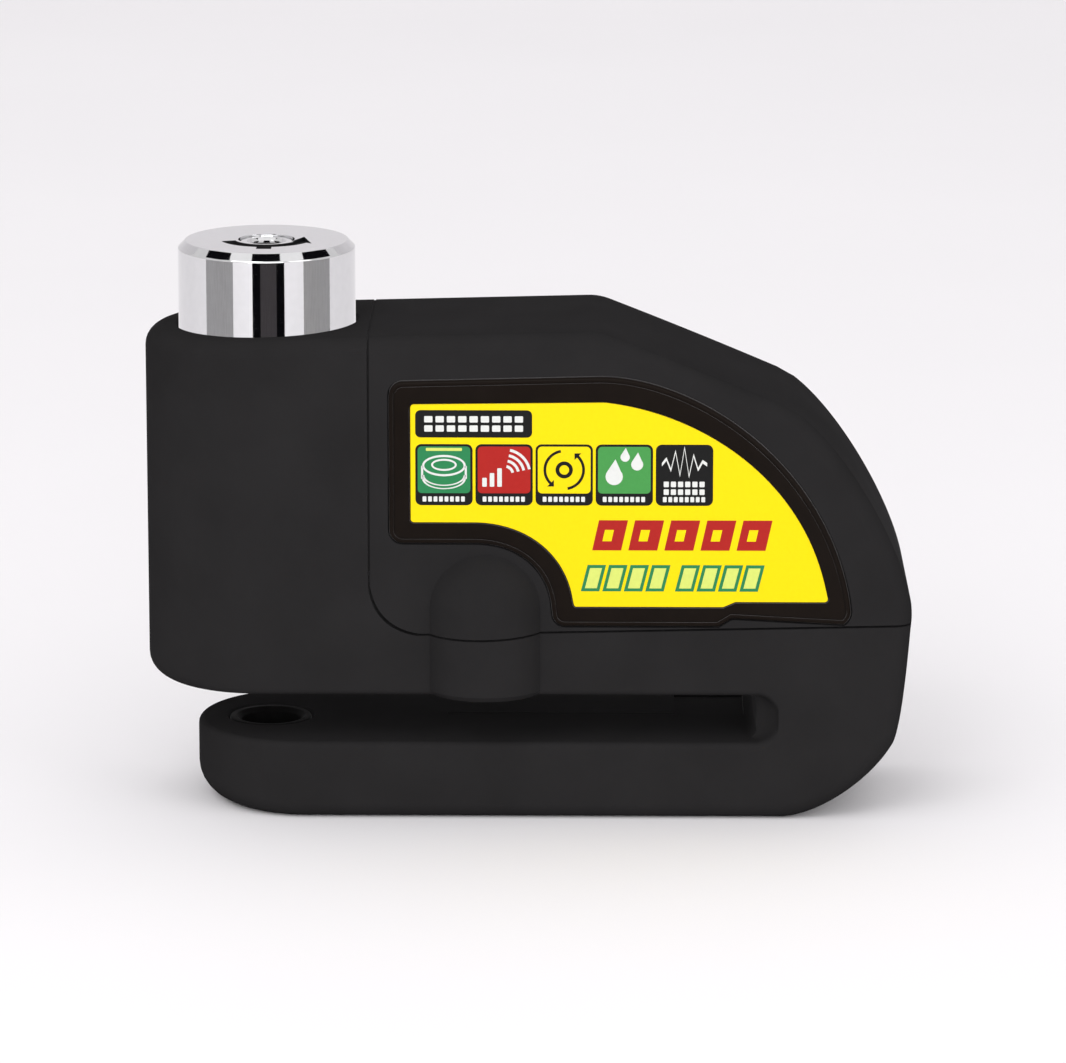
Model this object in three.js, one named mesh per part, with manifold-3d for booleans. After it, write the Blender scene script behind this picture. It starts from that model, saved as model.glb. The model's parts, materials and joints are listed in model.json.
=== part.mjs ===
// Alarm brake-disc lock: a push-to-lock barrel, a jaw that closes round a brake disc, and an alarm module.
// Millimetres, +Z up, X along the lock with the jaw's open end at -X. The front face, with the label, looks to -Y.
// The origin is under the middle of the lock's bounding box, on the face that it stands on.
import * as THREE from 'three';
import { mergeVertices } from 'three/addons/utils/BufferGeometryUtils.js';
import Module from 'manifold-3d';

const wasm = await Module();
wasm.setup();

// ---------------------------------------------------------------- driving dimensions

const LENGTH = 103;                       // overall, left end of the barrel to the right side
const HALF = 15;                          // half of the body's thickness
const BULGE = 4.2;                        // how far the screw boss stands out of the front face
const EDGE = 2;                           // radius round the front and back faces
const LEFT_X = -LENGTH / 2;
const RIGHT_X = LENGTH / 2;

const AXIS_X = -35.1;                     // push cylinder, lock core and locking pin
const BARREL_TOP = 64.95;                 // at its left end
const SHOULDER_X = 9.6;                   // where the top starts to slope down to the right
const SHOULDER_Z = 66.45;
const TOP_SLOPE = (SHOULDER_Z - BARREL_TOP) / (SHOULDER_X - LEFT_X);

const JAW_X = -44.9;                      // left end of the lower jaw
const SLOT_FLOOR = 10.6;
const SLOT_CEILING = 17.1;
const SLOT_END = 30;
const SLOT_FLARE = 3.4;                   // how much wider the slot's end is at the front and back faces

const SEAM_X = -21.2;                     // where the alarm housing meets the barrel
const SEAM_Z = 25.3;                      // where it meets the deck, at the seam's rounded corner
const SEAM_SLOPE = 0.021;
const SEAM_RADIUS = 6.5;
const SEAM_GAP = 0.3;
const WALL = 2.2;                         // alarm housing

const BOSS = { x: -5.6, y: -HALF - BULGE + 8.6, radius: 8.6, domeZ: 29 };
const REAR_POST = { x: 10, y: 7, radius: 4 };
const POST_RADIUS = 6.5;                  // inner part of the front boss
const POST_TOP = 37.4;

const CAP = { radius: 11.9, top: 76.4, bottom: 36, chamfer: 1.2, bore: 9.7, lid: 2.1 };
const TRAVEL = 11;                        // push cylinder, from unlocked to locked
const BORE_RADIUS = 12.2;
const BORE_FLOOR = 24.2;
const PIN_RADIUS = 3.5;
const CARRIER = { top: 54, bottom: 44.3 };
const LATCH = { width: 6, height: 3, tip: 11.7, travel: 2.4, z: 50.9 };
const LATCH_POST = { radius: 0.9, from: 3.4 };
const PLUG_RADIUS = 4.9;
const CORE_BOTTOM = 57;

const DECK_TOP = 28.2;                    // top of the body's tongue inside the housing
const CELL = { radius: 5.8, height: 5.4, count: 6, x: -15.2, y: 4, z: 52.9 };
const SIREN = { x: 29.5, z: 40.8, radius: 10.5, back: 5, front: 12.3 };
const BEZEL = { left: -18.5, top: 60.1, shelf: 37.8, step: 27.6, foot: 26.5 };
const LABEL_BORDER = 3;                   // how much of the bezel shows round the label
const BOARD = { x0: -17.6, x1: 20, z0: 38.8, z1: 58.5, y0: -11.9, y1: -10.7 };

const FAR = 100;                          // reach of a cutting tool that goes right through

// ---------------------------------------------------------------- materials

function finish(color, metalness, roughness) {
  return new THREE.MeshStandardMaterial({ color, metalness, roughness });
}

const blackPaint = finish(0x2b2a2b, 0.3, 0.55);
const chrome = finish(0xd8dadd, 1, 0.08);
const steel = finish(0x9a9ca0, 1, 0.3);
const brass = finish(0xb59243, 1, 0.35);
const rubber = finish(0x141414, 0, 0.8);
const blackPlastic = finish(0x1a1613, 0, 0.4);
const greyPlastic = finish(0x5a5d60, 0, 0.6);
const yellowPrint = finish(0xfff200, 0, 0.45);
const boardGreen = finish(0x1f5a2e, 0, 0.5);
const ceramic = finish(0xe8e4d8, 0, 0.5);
const copper = finish(0xa5562a, 1, 0.4);
const redWire = finish(0xb01c16, 0, 0.5);
const blackWire = finish(0x101010, 0, 0.5);

// ---------------------------------------------------------------- solids

function solidOf(geometry) {
  const bare = geometry.index ? geometry.toNonIndexed() : geometry.clone();
  bare.deleteAttribute('normal');
  bare.deleteAttribute('uv');
  const merged = mergeVertices(bare, 1e-4);
  return new wasm.Manifold(new wasm.Mesh({
    numProp: 3,
    vertProperties: merged.attributes.position.array,
    triVerts: new Uint32Array(merged.index.array),
  }));
}

function geometryOf(solid) {
  const mesh = solid.getMesh();
  const geometry = new THREE.BufferGeometry();
  geometry.setAttribute('position', new THREE.BufferAttribute(new Float32Array(mesh.vertProperties), 3));
  geometry.setIndex(new THREE.BufferAttribute(new Uint32Array(mesh.triVerts), 1));
  geometry.computeVertexNormals();
  return geometry;
}

function shapeFrom(points) {
  return new THREE.Shape(points.map(([x, y]) => new THREE.Vector2(x, y)));
}

// A shape drawn in plan, raised from z0 to z1.
function planPrism(shape, z0, z1, segments = 12) {
  const geometry = new THREE.ExtrudeGeometry(shape, {
    depth: z1 - z0, bevelEnabled: false, curveSegments: segments,
  });
  return solidOf(geometry.translate(0, 0, z0));
}

// A shape drawn as seen from the front, in x and z, running from y0 to y1, with a round edge if radius is given.
function frontPrism(shape, y0, y1, radius = 0, segments = 12) {
  const geometry = new THREE.ExtrudeGeometry(shape, {
    depth: y1 - y0 - 2 * radius,
    bevelEnabled: radius > 0,
    bevelThickness: radius,
    bevelSize: radius,
    bevelOffset: -radius,
    bevelSegments: 3,
    curveSegments: segments,
  });
  return solidOf(geometry.rotateX(Math.PI / 2).translate(0, y1 - radius, 0));
}

function box(x0, x1, y0, y1, z0, z1) {
  const geometry = new THREE.BoxGeometry(x1 - x0, y1 - y0, z1 - z0);
  return solidOf(geometry.translate((x0 + x1) / 2, (y0 + y1) / 2, (z0 + z1) / 2));
}

// An upright cylinder on the axis through x, y.
function post(x, y, radius, z0, z1, sides = 24) {
  const geometry = new THREE.CylinderGeometry(radius, radius, z1 - z0, sides);
  return solidOf(geometry.rotateX(Math.PI / 2).translate(x, y, (z0 + z1) / 2));
}

// A cylinder along Y on the axis through x, z.
function rod(x, z, radius, y0, y1, sides = 24) {
  const geometry = new THREE.CylinderGeometry(radius, radius, y1 - y0, sides);
  return solidOf(geometry.translate(x, (y0 + y1) / 2, z));
}

// A cylinder along X on the axis through y, z.
function bar(y, z, radius, x0, x1, sides = 24) {
  const geometry = new THREE.CylinderGeometry(radius, radius, x1 - x0, sides);
  return solidOf(geometry.rotateZ(Math.PI / 2).translate((x0 + x1) / 2, y, z));
}

// A turned piece: profile is a list of [radius, height], spun round +Z.
function turned(profile, sides = 28) {
  const points = profile.map(([r, h]) => new THREE.Vector2(r, h));
  return solidOf(new THREE.LatheGeometry(points, sides).rotateX(Math.PI / 2));
}

function ring(outer, inner, z0, z1, sides = 28) {
  return turned([[inner, z0], [outer, z0], [outer, z1], [inner, z1], [inner, z0]], sides);
}

// A closed skin over a stack of rings, each a list of [x, y, z] that goes round anticlockwise seen from above.
function loft(rings) {
  const count = rings[0].length;
  const positions = [];
  const face = (...corners) => corners.forEach((corner) => positions.push(...corner));
  for (let k = 0; k + 1 < rings.length; k++) {
    for (let i = 0; i < count; i++) {
      const j = (i + 1) % count;
      face(rings[k][i], rings[k][j], rings[k + 1][j]);
      face(rings[k][i], rings[k + 1][j], rings[k + 1][i]);
    }
  }
  const lid = rings[0].map(([x, y]) => new THREE.Vector2(x, y));
  const top = rings[rings.length - 1];
  for (const [a, b, c] of THREE.ShapeUtils.triangulateShape(lid, [])) {
    face(rings[0][a], rings[0][c], rings[0][b]);
    face(top[a], top[b], top[c]);
  }
  const geometry = new THREE.BufferGeometry();
  geometry.setAttribute('position', new THREE.Float32BufferAttribute(positions, 3));
  return solidOf(geometry);
}

// A block with a round left end. Its lower and upper rims are rounded by [at the end, along the sides], and its
// top may rise to the right.
function roundEnded(leftX, rightX, z0, z1, lower, upper, slope = 0) {
  const STEPS = 3;
  const ARC = 18;
  const middle = leftX + HALF;
  const outline = (insetX, insetY, z) => {
    const points = [[rightX, insetY - HALF, z], [rightX, HALF - insetY, z]];
    for (let i = 0; i <= ARC; i++) {
      const angle = Math.PI / 2 + Math.PI * i / ARC;
      points.push([middle + (HALF - insetX) * Math.cos(angle), (HALF - insetY) * Math.sin(angle), z]);
    }
    return points;
  };
  const rings = [];
  for (let k = 0; k <= STEPS; k++) {
    const turn = Math.PI / 2 * k / STEPS;
    const inset = 1 - Math.sin(turn);
    rings.push(outline(lower[0] * inset, lower[1] * inset, z0 + lower[0] * (1 - Math.cos(turn))));
  }
  for (let k = STEPS; k >= 0; k--) {
    const turn = Math.PI / 2 * k / STEPS;
    const inset = 1 - Math.sin(turn);
    const level = outline(upper[0] * inset, upper[1] * inset, z1 - upper[0] * (1 - Math.cos(turn)));
    rings.push(level.map(([x, y, z]) => [x, y, z + slope * (x - leftX)]));
  }
  return loft(rings);
}

function tube(points, radius, steps = 12) {
  const path = new THREE.CatmullRomCurve3(points.map(([x, y, z]) => new THREE.Vector3(x, y, z)));
  const section = new THREE.Shape().absarc(0, 0, radius, 0, 2 * Math.PI);
  return solidOf(new THREE.ExtrudeGeometry(section, {
    steps, curveSegments: 3, bevelEnabled: false, extrudePath: path,
  }));
}

class Coil extends THREE.Curve {
  constructor(radiusAt, height, turns) {
    super();
    Object.assign(this, { radiusAt, height, turns });
  }

  getPoint(t, target = new THREE.Vector3()) {
    const angle = 2 * Math.PI * this.turns * t;
    const radius = this.radiusAt(t);
    return target.set(radius * Math.cos(angle), radius * Math.sin(angle), this.height * t);
  }
}

function spring(radiusAt, height, turns, wire, stepsPerTurn = 12) {
  const section = new THREE.Shape().absarc(0, 0, wire, 0, 2 * Math.PI);
  return solidOf(new THREE.ExtrudeGeometry(section, {
    steps: Math.round(turns * stepsPerTurn), curveSegments: 3, bevelEnabled: false,
    extrudePath: new Coil(radiusAt, height, turns),
  }));
}

// A closed outline moved inwards by distance, with mitred corners.
function insetOutline(outline, distance) {
  const points = outline.slice();
  if (points[0].distanceTo(points[points.length - 1]) < 1e-6) points.pop();
  const count = points.length;
  return points.map((point, i) => {
    const before = points[(i + count - 1) % count];
    const after = points[(i + 1) % count];
    const a = new THREE.Vector2().subVectors(point, before).normalize();
    const b = new THREE.Vector2().subVectors(after, point).normalize();
    const normal = new THREE.Vector2(-a.y - b.y, a.x + b.x).normalize();
    const mitre = distance / Math.max(0.4, Math.abs(normal.dot(new THREE.Vector2(-a.y, a.x))));
    return new THREE.Vector2(point.x + normal.x * mitre, point.y + normal.y * mitre);
  });
}

// ---------------------------------------------------------------- outlines, in x and z as seen from the front

// The lock without the round left ends of its barrel and jaw, anticlockwise.
function sideOutline() {
  const shape = new THREE.Shape();
  shape.moveTo(-28, 0);
  shape.lineTo(34, 0);
  shape.bezierCurveTo(39, 0, 46.2, 5, 49.1, 10.2);
  shape.quadraticCurveTo(50.3, 12.4, RIGHT_X - 0.2, 26);
  shape.lineTo(RIGHT_X, 28);
  shape.bezierCurveTo(50.5, 37, 42.8, 50.8, 35.2, 55.9);
  shape.quadraticCurveTo(22.5, 61.7, SHOULDER_X + 1.5, SHOULDER_Z - 0.6);
  shape.quadraticCurveTo(SHOULDER_X, SHOULDER_Z, SHOULDER_X - 1.5, SHOULDER_Z - 1.5 * TOP_SLOPE);
  shape.lineTo(-28, BARREL_TOP + TOP_SLOPE * (-28 - LEFT_X));
  shape.closePath();
  return shape;
}

function seamZ(x) {
  return SEAM_Z + SEAM_SLOPE * (x - SEAM_X - SEAM_RADIUS);
}

// Everything on the alarm housing's side of the seam, moved away from the seam by gap.
function housingZone(gap) {
  const left = SEAM_X + gap;
  const corner = left + SEAM_RADIUS;
  const shape = new THREE.Shape();
  shape.moveTo(FAR, seamZ(FAR) + gap);
  shape.lineTo(FAR, FAR);
  shape.lineTo(left, FAR);
  shape.lineTo(left, seamZ(corner) + gap + SEAM_RADIUS);
  shape.quadraticCurveTo(left, seamZ(corner) + gap, corner, seamZ(corner) + gap);
  shape.closePath();
  return shape;
}

// The recess round the label, which steps up at the right and curves round the screw boss at the left.
function bezelOutline() {
  const shape = new THREE.Shape();
  shape.moveTo(5, BEZEL.foot);
  shape.lineTo(25.3, BEZEL.foot);
  shape.lineTo(27.2, BEZEL.step);
  shape.lineTo(41.6, BEZEL.step);
  shape.quadraticCurveTo(43.4, BEZEL.step, 43.3, 29.6);
  shape.bezierCurveTo(39.2, 50.4, 21.5, 60.9, 9.7, BEZEL.top + 0.7);
  shape.lineTo(BEZEL.left + 1.9, BEZEL.top);
  shape.quadraticCurveTo(BEZEL.left, BEZEL.top, BEZEL.left, BEZEL.top - 1.7);
  shape.lineTo(BEZEL.left, BEZEL.shelf + 1.6);
  shape.quadraticCurveTo(BEZEL.left, BEZEL.shelf, BEZEL.left + 1.5, BEZEL.shelf);
  shape.lineTo(-7, BEZEL.shelf);
  shape.bezierCurveTo(-1.5, BEZEL.shelf, 2.6, 34.6, 3.1, 29.4);
  shape.lineTo(3.5, 27.8);
  shape.quadraticCurveTo(3.8, BEZEL.foot, 5, BEZEL.foot);
  return shape;
}

function labelOutline() {
  const left = BEZEL.left + LABEL_BORDER;
  const shelf = BEZEL.shelf + LABEL_BORDER;
  const foot = BEZEL.foot + 2.8;
  const step = BEZEL.step + 2.4;
  const shape = new THREE.Shape();
  shape.moveTo(6.2, foot);
  shape.lineTo(26.2, foot);
  shape.lineTo(27.8, step);
  shape.lineTo(40, step);
  shape.bezierCurveTo(36.6, 46.4, 22.5, 56.2, 10.3, 57.2);
  shape.lineTo(left, 56.9);
  shape.lineTo(left, shelf);
  shape.lineTo(-6.6, shelf);
  shape.bezierCurveTo(0.2, shelf - 0.2, 5.2, 36.4, 6.2, foot);
  return shape;
}

// ---------------------------------------------------------------- body and housing

function envelope() {
  const block = frontPrism(sideOutline(), -HALF, HALF, EDGE, 10);
  const slot = box(-FAR, SLOT_END, -FAR, FAR, SLOT_FLOOR, SLOT_CEILING);
  const barrel = roundEnded(LEFT_X, SEAM_X + 1, SLOT_CEILING, BARREL_TOP, [2.6, 0.6], [2.6, EDGE], TOP_SLOPE);
  const jaw = roundEnded(JAW_X, 0, 0, SLOT_FLOOR, [4.4, EDGE], [0.6, 0.6]);
  const boss = turned([
    [0, SLOT_CEILING],
    [BOSS.radius, SLOT_CEILING],
    ...Array.from({ length: 6 }, (_, i) => {
      const angle = Math.PI / 2 * i / 5;
      return [BOSS.radius * Math.cos(angle), BOSS.domeZ + BOSS.radius * Math.sin(angle)];
    }),
  ], 32).translate([BOSS.x, BOSS.y, 0]);
  return block.subtract(slot).add(barrel).add(jaw).add(boss);
}

// The flared end of the disc slot, at one face of the body.
function slotFlare(side) {
  const face = side * (HALF + 1);
  const inner = side * (HALF - SLOT_FLARE);
  const corners = [
    [SLOT_END - 3, face],
    [SLOT_END + SLOT_FLARE + 1, face],
    [SLOT_END, inner],
    [SLOT_END - 3, inner],
  ];
  if (side > 0) corners.reverse();
  return planPrism(shapeFrom(corners), SLOT_FLOOR, SLOT_CEILING);
}

function housingCavity() {
  const inside = insetOutline(sideOutline().getPoints(8), WALL);
  const room = frontPrism(new THREE.Shape(inside), -HALF + WALL, HALF - WALL);
  const side = SEAM_X + SEAM_GAP + WALL;
  const zone = shapeFrom([
    [FAR, 20], [FAR, FAR], [side, FAR], [side, 31.5], [side + 3.6, 27.2], [side + 3.6, 20],
  ]);
  return room.intersect(frontPrism(zone, -FAR, FAR));
}

// A socket for a hex key, from z0 to z1.
function hexSocket(x, y, acrossCorners, z0, z1) {
  return post(x, y, acrossCorners / 2, z0, z1, 6);
}

const BOARD_SCREWS = { left: -15.2, right: 16, z: 41 };
const SCREW = { headRadius: 3, headHeight: 3.2, shank: 1.6, headZ: SLOT_CEILING + 0.4, tip: 34.2 };
const INSERT = { radius: 2.7, bore: 1.75, from: 26.6, to: 34.6 };

function lockBody(shell) {
  const zone = frontPrism(housingZone(0), -FAR, FAR);
  const tongue = housingCavity()
    .intersect(box(SEAM_X + 7.4, RIGHT_X - 4.2, -HALF + WALL + 1.3, HALF - WALL - 1.3, 20, DECK_TOP))
    .subtract(post(BOSS.x, BOSS.y, POST_RADIUS + 0.3, 20, FAR))
    .subtract(post(REAR_POST.x, REAR_POST.y, REAR_POST.radius + 0.3, 20, FAR));
  let body = shell.subtract(zone).add(tongue);
  for (const side of [-1, 1]) body = body.subtract(slotFlare(side));
  const cuts = [
    post(AXIS_X, 0, BORE_RADIUS, BORE_FLOOR, FAR, 48),
    post(AXIS_X, 0, 5.3, SLOT_CEILING - 1, BORE_FLOOR + 1, 28),
    post(AXIS_X, 0, 5.7, 3.5, SLOT_FLOOR + 1, 28),
    post(AXIS_X, 0, 2.2, -1, 5, 24),
    ring(13.05, BORE_RADIUS - 1, 61.2, 62.8, 36).translate([AXIS_X, 0, 0]),
    bar(0, GUIDE.z, GUIDE.radius + 0.1, AXIS_X + 9, SEAM_X + 1, 20),
  ];
  for (const drop of [0, TRAVEL]) {
    const z = LATCH.z - drop;
    const depth = LATCH.tip + LATCH.travel + 0.5;
    cuts.push(box(AXIS_X - depth, AXIS_X - 9, -3.4, 3.4, z - 0.4, z + LATCH.height + 0.4));
  }
  for (const { x, y } of [BOSS, REAR_POST]) {
    cuts.push(post(x, y, SCREW.headRadius + 0.4, SLOT_CEILING - 1, SCREW.headZ + SCREW.headHeight + 0.2, 28));
    cuts.push(post(x, y, SCREW.shank + 0.3, SLOT_CEILING, FAR, 20));
  }
  return cuts.reduce((result, cut) => result.subtract(cut), body);
}

const GRILLE = { radius: 8.8, slot: 1.5, pitch: 2.7, rows: 3 };

function grilleSlots() {
  const slots = [];
  for (let row = -GRILLE.rows; row <= GRILLE.rows; row++) {
    const z = SIREN.z + row * GRILLE.pitch;
    const half = Math.sqrt(GRILLE.radius ** 2 - (row * GRILLE.pitch) ** 2) - GRILLE.slot / 2;
    const shape = new THREE.Shape();
    shape.absarc(SIREN.x + half, z, GRILLE.slot / 2, -Math.PI / 2, Math.PI / 2);
    shape.absarc(SIREN.x - half, z, GRILLE.slot / 2, Math.PI / 2, 3 * Math.PI / 2);
    slots.push(frontPrism(shape, HALF - WALL - 1, HALF + 1, 0, 6));
  }
  return slots;
}

const RECESS = 0.9;

function alarmHousing(shell) {
  const zone = frontPrism(housingZone(SEAM_GAP), -FAR, FAR);
  const frontPost = post(BOSS.x, BOSS.y, POST_RADIUS, 0, POST_TOP, 40);
  const rearPost = post(REAR_POST.x, REAR_POST.y, REAR_POST.radius, 0, POST_TOP);
  const web = box(REAR_POST.x - 1.5, REAR_POST.x + 1.5, REAR_POST.y, HALF - 1, DECK_TOP + 0.4, POST_TOP);
  const hollow = housingCavity().subtract(frontPost).subtract(rearPost).subtract(web);
  let housing = shell.intersect(zone).subtract(hollow);
  housing = housing.subtract(frontPrism(bezelOutline(), -HALF - 1, -HALF + RECESS, 0, 10));
  for (const slot of grilleSlots()) housing = housing.subtract(slot);
  for (const { x, y } of [BOSS, REAR_POST]) {
    housing = housing.subtract(post(x, y, INSERT.radius + 0.1, 20, INSERT.to + 0.2, 24));
  }
  return housing;
}

function labelBezel() {
  const plate = frontPrism(new THREE.Shape(insetOutline(bezelOutline().getPoints(10), 0.15)),
    -HALF + 0.05, -HALF + RECESS - 0.05);
  const seat = frontPrism(labelOutline(), -HALF - 1, -HALF + 0.45, 0, 14);
  return plate.subtract(seat);
}

function labelSheet() {
  const outline = insetOutline(labelOutline().getPoints(14), 0.08);
  return frontPrism(new THREE.Shape(outline), -HALF + 0.08, -HALF + 0.4);
}

function housingGasket() {
  const side = SEAM_X + SEAM_GAP + WALL + 3.6;
  const outer = box(side + 0.15, RIGHT_X - 2.8, -HALF + WALL + 0.15, HALF - WALL - 0.15, 20, DECK_TOP - 0.1);
  const inner = box(side + 1.1, RIGHT_X - 4.0, -HALF + WALL + 1.1, HALF - WALL - 1.1, 10, FAR);
  return outer.subtract(inner)
    .subtract(post(BOSS.x, BOSS.y, POST_RADIUS + 0.3, 10, FAR))
    .intersect(frontPrism(housingZone(0.15), -FAR, FAR));
}

function housingScrew({ x, y }) {
  const { headRadius, headHeight, shank, headZ, tip } = SCREW;
  return turned([
    [0, headZ], [headRadius - 0.4, headZ], [headRadius, headZ + 0.4], [headRadius, headZ + headHeight],
    [shank, headZ + headHeight], [shank, tip - 0.8], [shank - 0.8, tip], [0, tip],
  ], 20).subtract(hexSocket(0, 0, 2.9, headZ - 1, headZ + 1.8)).translate([x, y, 0]);
}

function threadedInsert({ x, y }) {
  const { radius, bore, from, to } = INSERT;
  const middle = (from + to) / 2;
  return turned([
    [bore, from], [radius, from], [radius, middle - 0.6], [radius - 0.4, middle - 0.6],
    [radius - 0.4, middle + 0.6], [radius, middle + 0.6], [radius, to], [bore, to], [bore, from],
  ], 16).translate([x, y, 0]);
}

// ---------------------------------------------------------------- push cylinder, on the axis x = y = 0

const GUIDE = { radius: 1.4, z: 40.2, tip: 10.8 };
const MAGNET = { angle: -40 * Math.PI / 180, radius: 1.9, z: 50.8, from: 10.4, to: 11.75 };

function along(solid, angle) {
  return solid.rotate([0, 0, THREE.MathUtils.radToDeg(angle)]);
}

function pushSleeve() {
  const { radius, top, bottom, chamfer, bore, lid } = CAP;
  const sleeve = turned([
    [bore, bottom], [radius - 0.5, bottom], [radius, bottom + 0.5], [radius, top - chamfer],
    [radius - chamfer, top], [PLUG_RADIUS + 0.15, top], [PLUG_RADIUS + 0.15, top - lid],
    [bore, top - lid], [bore, bottom],
  ], 48);
  const groove = box(GUIDE.tip - 0.2, FAR, -1.65, 1.65, GUIDE.z - 1.7, GUIDE.z + TRAVEL + 1.8);
  const window = box(-FAR, 0, -3.3, 3.3, LATCH.z - 0.3, LATCH.z + LATCH.height + 0.3);
  const pocket = along(bar(0, MAGNET.z, MAGNET.radius + 0.15, MAGNET.from - 0.15, FAR, 20), MAGNET.angle);
  return sleeve.subtract(groove).subtract(window).subtract(pocket).subtract(shellPinHole());
}

const SHELL = { radius: 9.5, bottom: 58.2, top: 74 };
const SHELL_PIN = { radius: 1, z: 60, from: 6.2, to: 11.6 };

function shellPinHole() {
  return rod(0, SHELL_PIN.z, SHELL_PIN.radius + 0.12, SHELL_PIN.from - 0.2, CAP.radius + 1, 12);
}

function cylinderShell() {
  const shell = ring(SHELL.radius, PLUG_RADIUS + 0.12, SHELL.bottom, SHELL.top, 32);
  const grooves = box(-6.1, 6.1, -2.2, 2.2, SHELL.bottom + 1, SHELL.top - 1.5);
  return shell.subtract(grooves).subtract(shellPinHole());
}

const WAFER = { count: 5, length: 8.6, width: 4, thickness: 1, pitch: 2.6, z: 61 };
const KEYWAY = { width: 1.4, length: 6.2 };
const PLUG_TOP = CAP.top - 0.25;
const CAM = { radius: 7.4, z0: 54.5, z1: 56.6, hub: 1.3 };
const CLIP = { groove: 4.2, radius: 6.6, z: 57.3, thickness: 0.6 };

function corePlug() {
  let plug = turned([
    [0, CORE_BOTTOM], [PLUG_RADIUS, CORE_BOTTOM], [PLUG_RADIUS, CLIP.z - 0.1],
    [CLIP.groove, CLIP.z - 0.1], [CLIP.groove, CLIP.z + CLIP.thickness + 0.1],
    [PLUG_RADIUS, CLIP.z + CLIP.thickness + 0.1], [PLUG_RADIUS, PLUG_TOP - 0.4],
    [PLUG_RADIUS - 0.4, PLUG_TOP], [0, PLUG_TOP],
  ], 24);
  plug = plug.add(box(-CAM.hub, CAM.hub, -CAM.hub, CAM.hub, CAM.z0 + 0.1, CORE_BOTTOM + 0.5));
  const half = KEYWAY.width / 2;
  const keyway = box(-KEYWAY.length / 2, KEYWAY.length / 2, -half, half, WAFER.z - 1.5, FAR)
    .add(box(-KEYWAY.length / 2, -KEYWAY.length / 2 + 1.6, -half - 0.7, half, WAFER.z - 1.5, FAR));
  plug = plug.subtract(keyway);
  for (let i = 0; i < WAFER.count; i++) {
    const z = WAFER.z + i * WAFER.pitch;
    plug = plug.subtract(box(-FAR, FAR, -WAFER.width / 2 - 0.12, WAFER.width / 2 + 0.12,
      z - 0.12, z + WAFER.thickness + 0.12));
  }
  return plug;
}

function wafer(index) {
  const z = WAFER.z + index * WAFER.pitch;
  const lift = 0.35 * Math.sin(2.1 * index);
  const plate = box(-WAFER.length / 2, WAFER.length / 2, -WAFER.width / 2, WAFER.width / 2,
    z, z + WAFER.thickness);
  return plate.subtract(box(-2.5 + lift, 2.5 + lift, -1, 1, z - 1, z + 2));
}

function coreClip() {
  const gap = box(0, FAR, -1.4, 1.4, 0, FAR);
  return ring(CLIP.radius, CLIP.groove + 0.15, CLIP.z, CLIP.z + CLIP.thickness, 24).subtract(gap);
}

// A disc with a spiral slot, which draws the latch's post outwards in step with the turn.
function camDisc() {
  const disc = post(0, 0, CAM.radius, CAM.z0, CAM.z1, 36);
  const hole = CAM.hub + 0.12;
  const STEPS = 7;
  let slot = null;
  for (let i = 0; i < STEPS; i++) {
    const ends = [i, i + 1].map((k) => {
      const t = k / STEPS;
      const angle = Math.PI + Math.PI / 2 * t;
      const radius = LATCH_POST.from + LATCH.travel * t;
      return post(radius * Math.cos(angle), radius * Math.sin(angle), LATCH_POST.radius + 0.25,
        CAM.z0 - 1, CAM.z1 + 1, 14);
    });
    const link = wasm.Manifold.hull(ends);
    slot = slot ? slot.add(link) : link;
  }
  return disc.subtract(slot).subtract(box(-hole, hole, -hole, hole, CAM.z0 - 1, CAM.z1 + 1));
}

function latchBolt() {
  const { width, height, tip, z } = LATCH;
  const half = width / 2;
  const plan = shapeFrom([
    [-tip + 0.9, -half], [2.6, -half], [2.6, half], [-tip + 0.9, half], [-tip, half - 0.9], [-tip, -half + 0.9],
  ]);
  return planPrism(plan, z, z + height)
    .add(post(-LATCH_POST.from, 0, LATCH_POST.radius, z + height - 0.5, CAM.z1 - 0.3, 20));
}

function pinCarrier() {
  const { top, bottom } = CARRIER;
  const block = turned([[0, bottom], [9.1, bottom], [9.5, bottom + 0.4], [9.5, top], [0, top]], 32);
  const channel = box(-FAR, 3 + LATCH.travel, -LATCH.width / 2 - 0.15, LATCH.width / 2 + 0.15,
    LATCH.z - 0.1, FAR);
  return block.subtract(channel)
    .subtract(post(0, 0, PIN_RADIUS + 0.1, 0, LOCK_PIN.top + 0.15))
    .subtract(rod(0, CARRIER_PIN.z, CARRIER_PIN.radius + 0.1, -FAR, FAR, 16));
}

const LOCK_PIN = { tip: SLOT_CEILING + 0.4, top: 49.5 };
const CARRIER_PIN = { z: 47, radius: 1.2, half: 9.2 };

function lockPin() {
  const { tip, top } = LOCK_PIN;
  return turned([
    [0, tip], [PIN_RADIUS - 0.9, tip], [PIN_RADIUS, tip + 0.9], [PIN_RADIUS, top - 0.4],
    [PIN_RADIUS - 0.4, top], [0, top],
  ], 28).subtract(rod(0, CARRIER_PIN.z, CARRIER_PIN.radius + 0.1, -FAR, FAR, 16));
}

function pinBushing() {
  return turned([
    [PIN_RADIUS + 0.15, SLOT_CEILING + 0.2], [5.2, SLOT_CEILING + 0.2], [5.2, BORE_FLOOR + 0.1],
    [7.8, BORE_FLOOR + 0.1], [7.8, BORE_FLOOR + 1.2], [PIN_RADIUS + 0.15, BORE_FLOOR + 1.2],
    [PIN_RADIUS + 0.15, SLOT_CEILING + 0.2],
  ]);
}

function jawBushing() {
  return turned([
    [4.1, 3.6], [5.55, 3.6], [5.55, SLOT_FLOOR - 0.1], [4.7, SLOT_FLOOR - 0.1], [4.1, SLOT_FLOOR - 0.7],
    [4.1, 3.6],
  ]);
}

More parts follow.
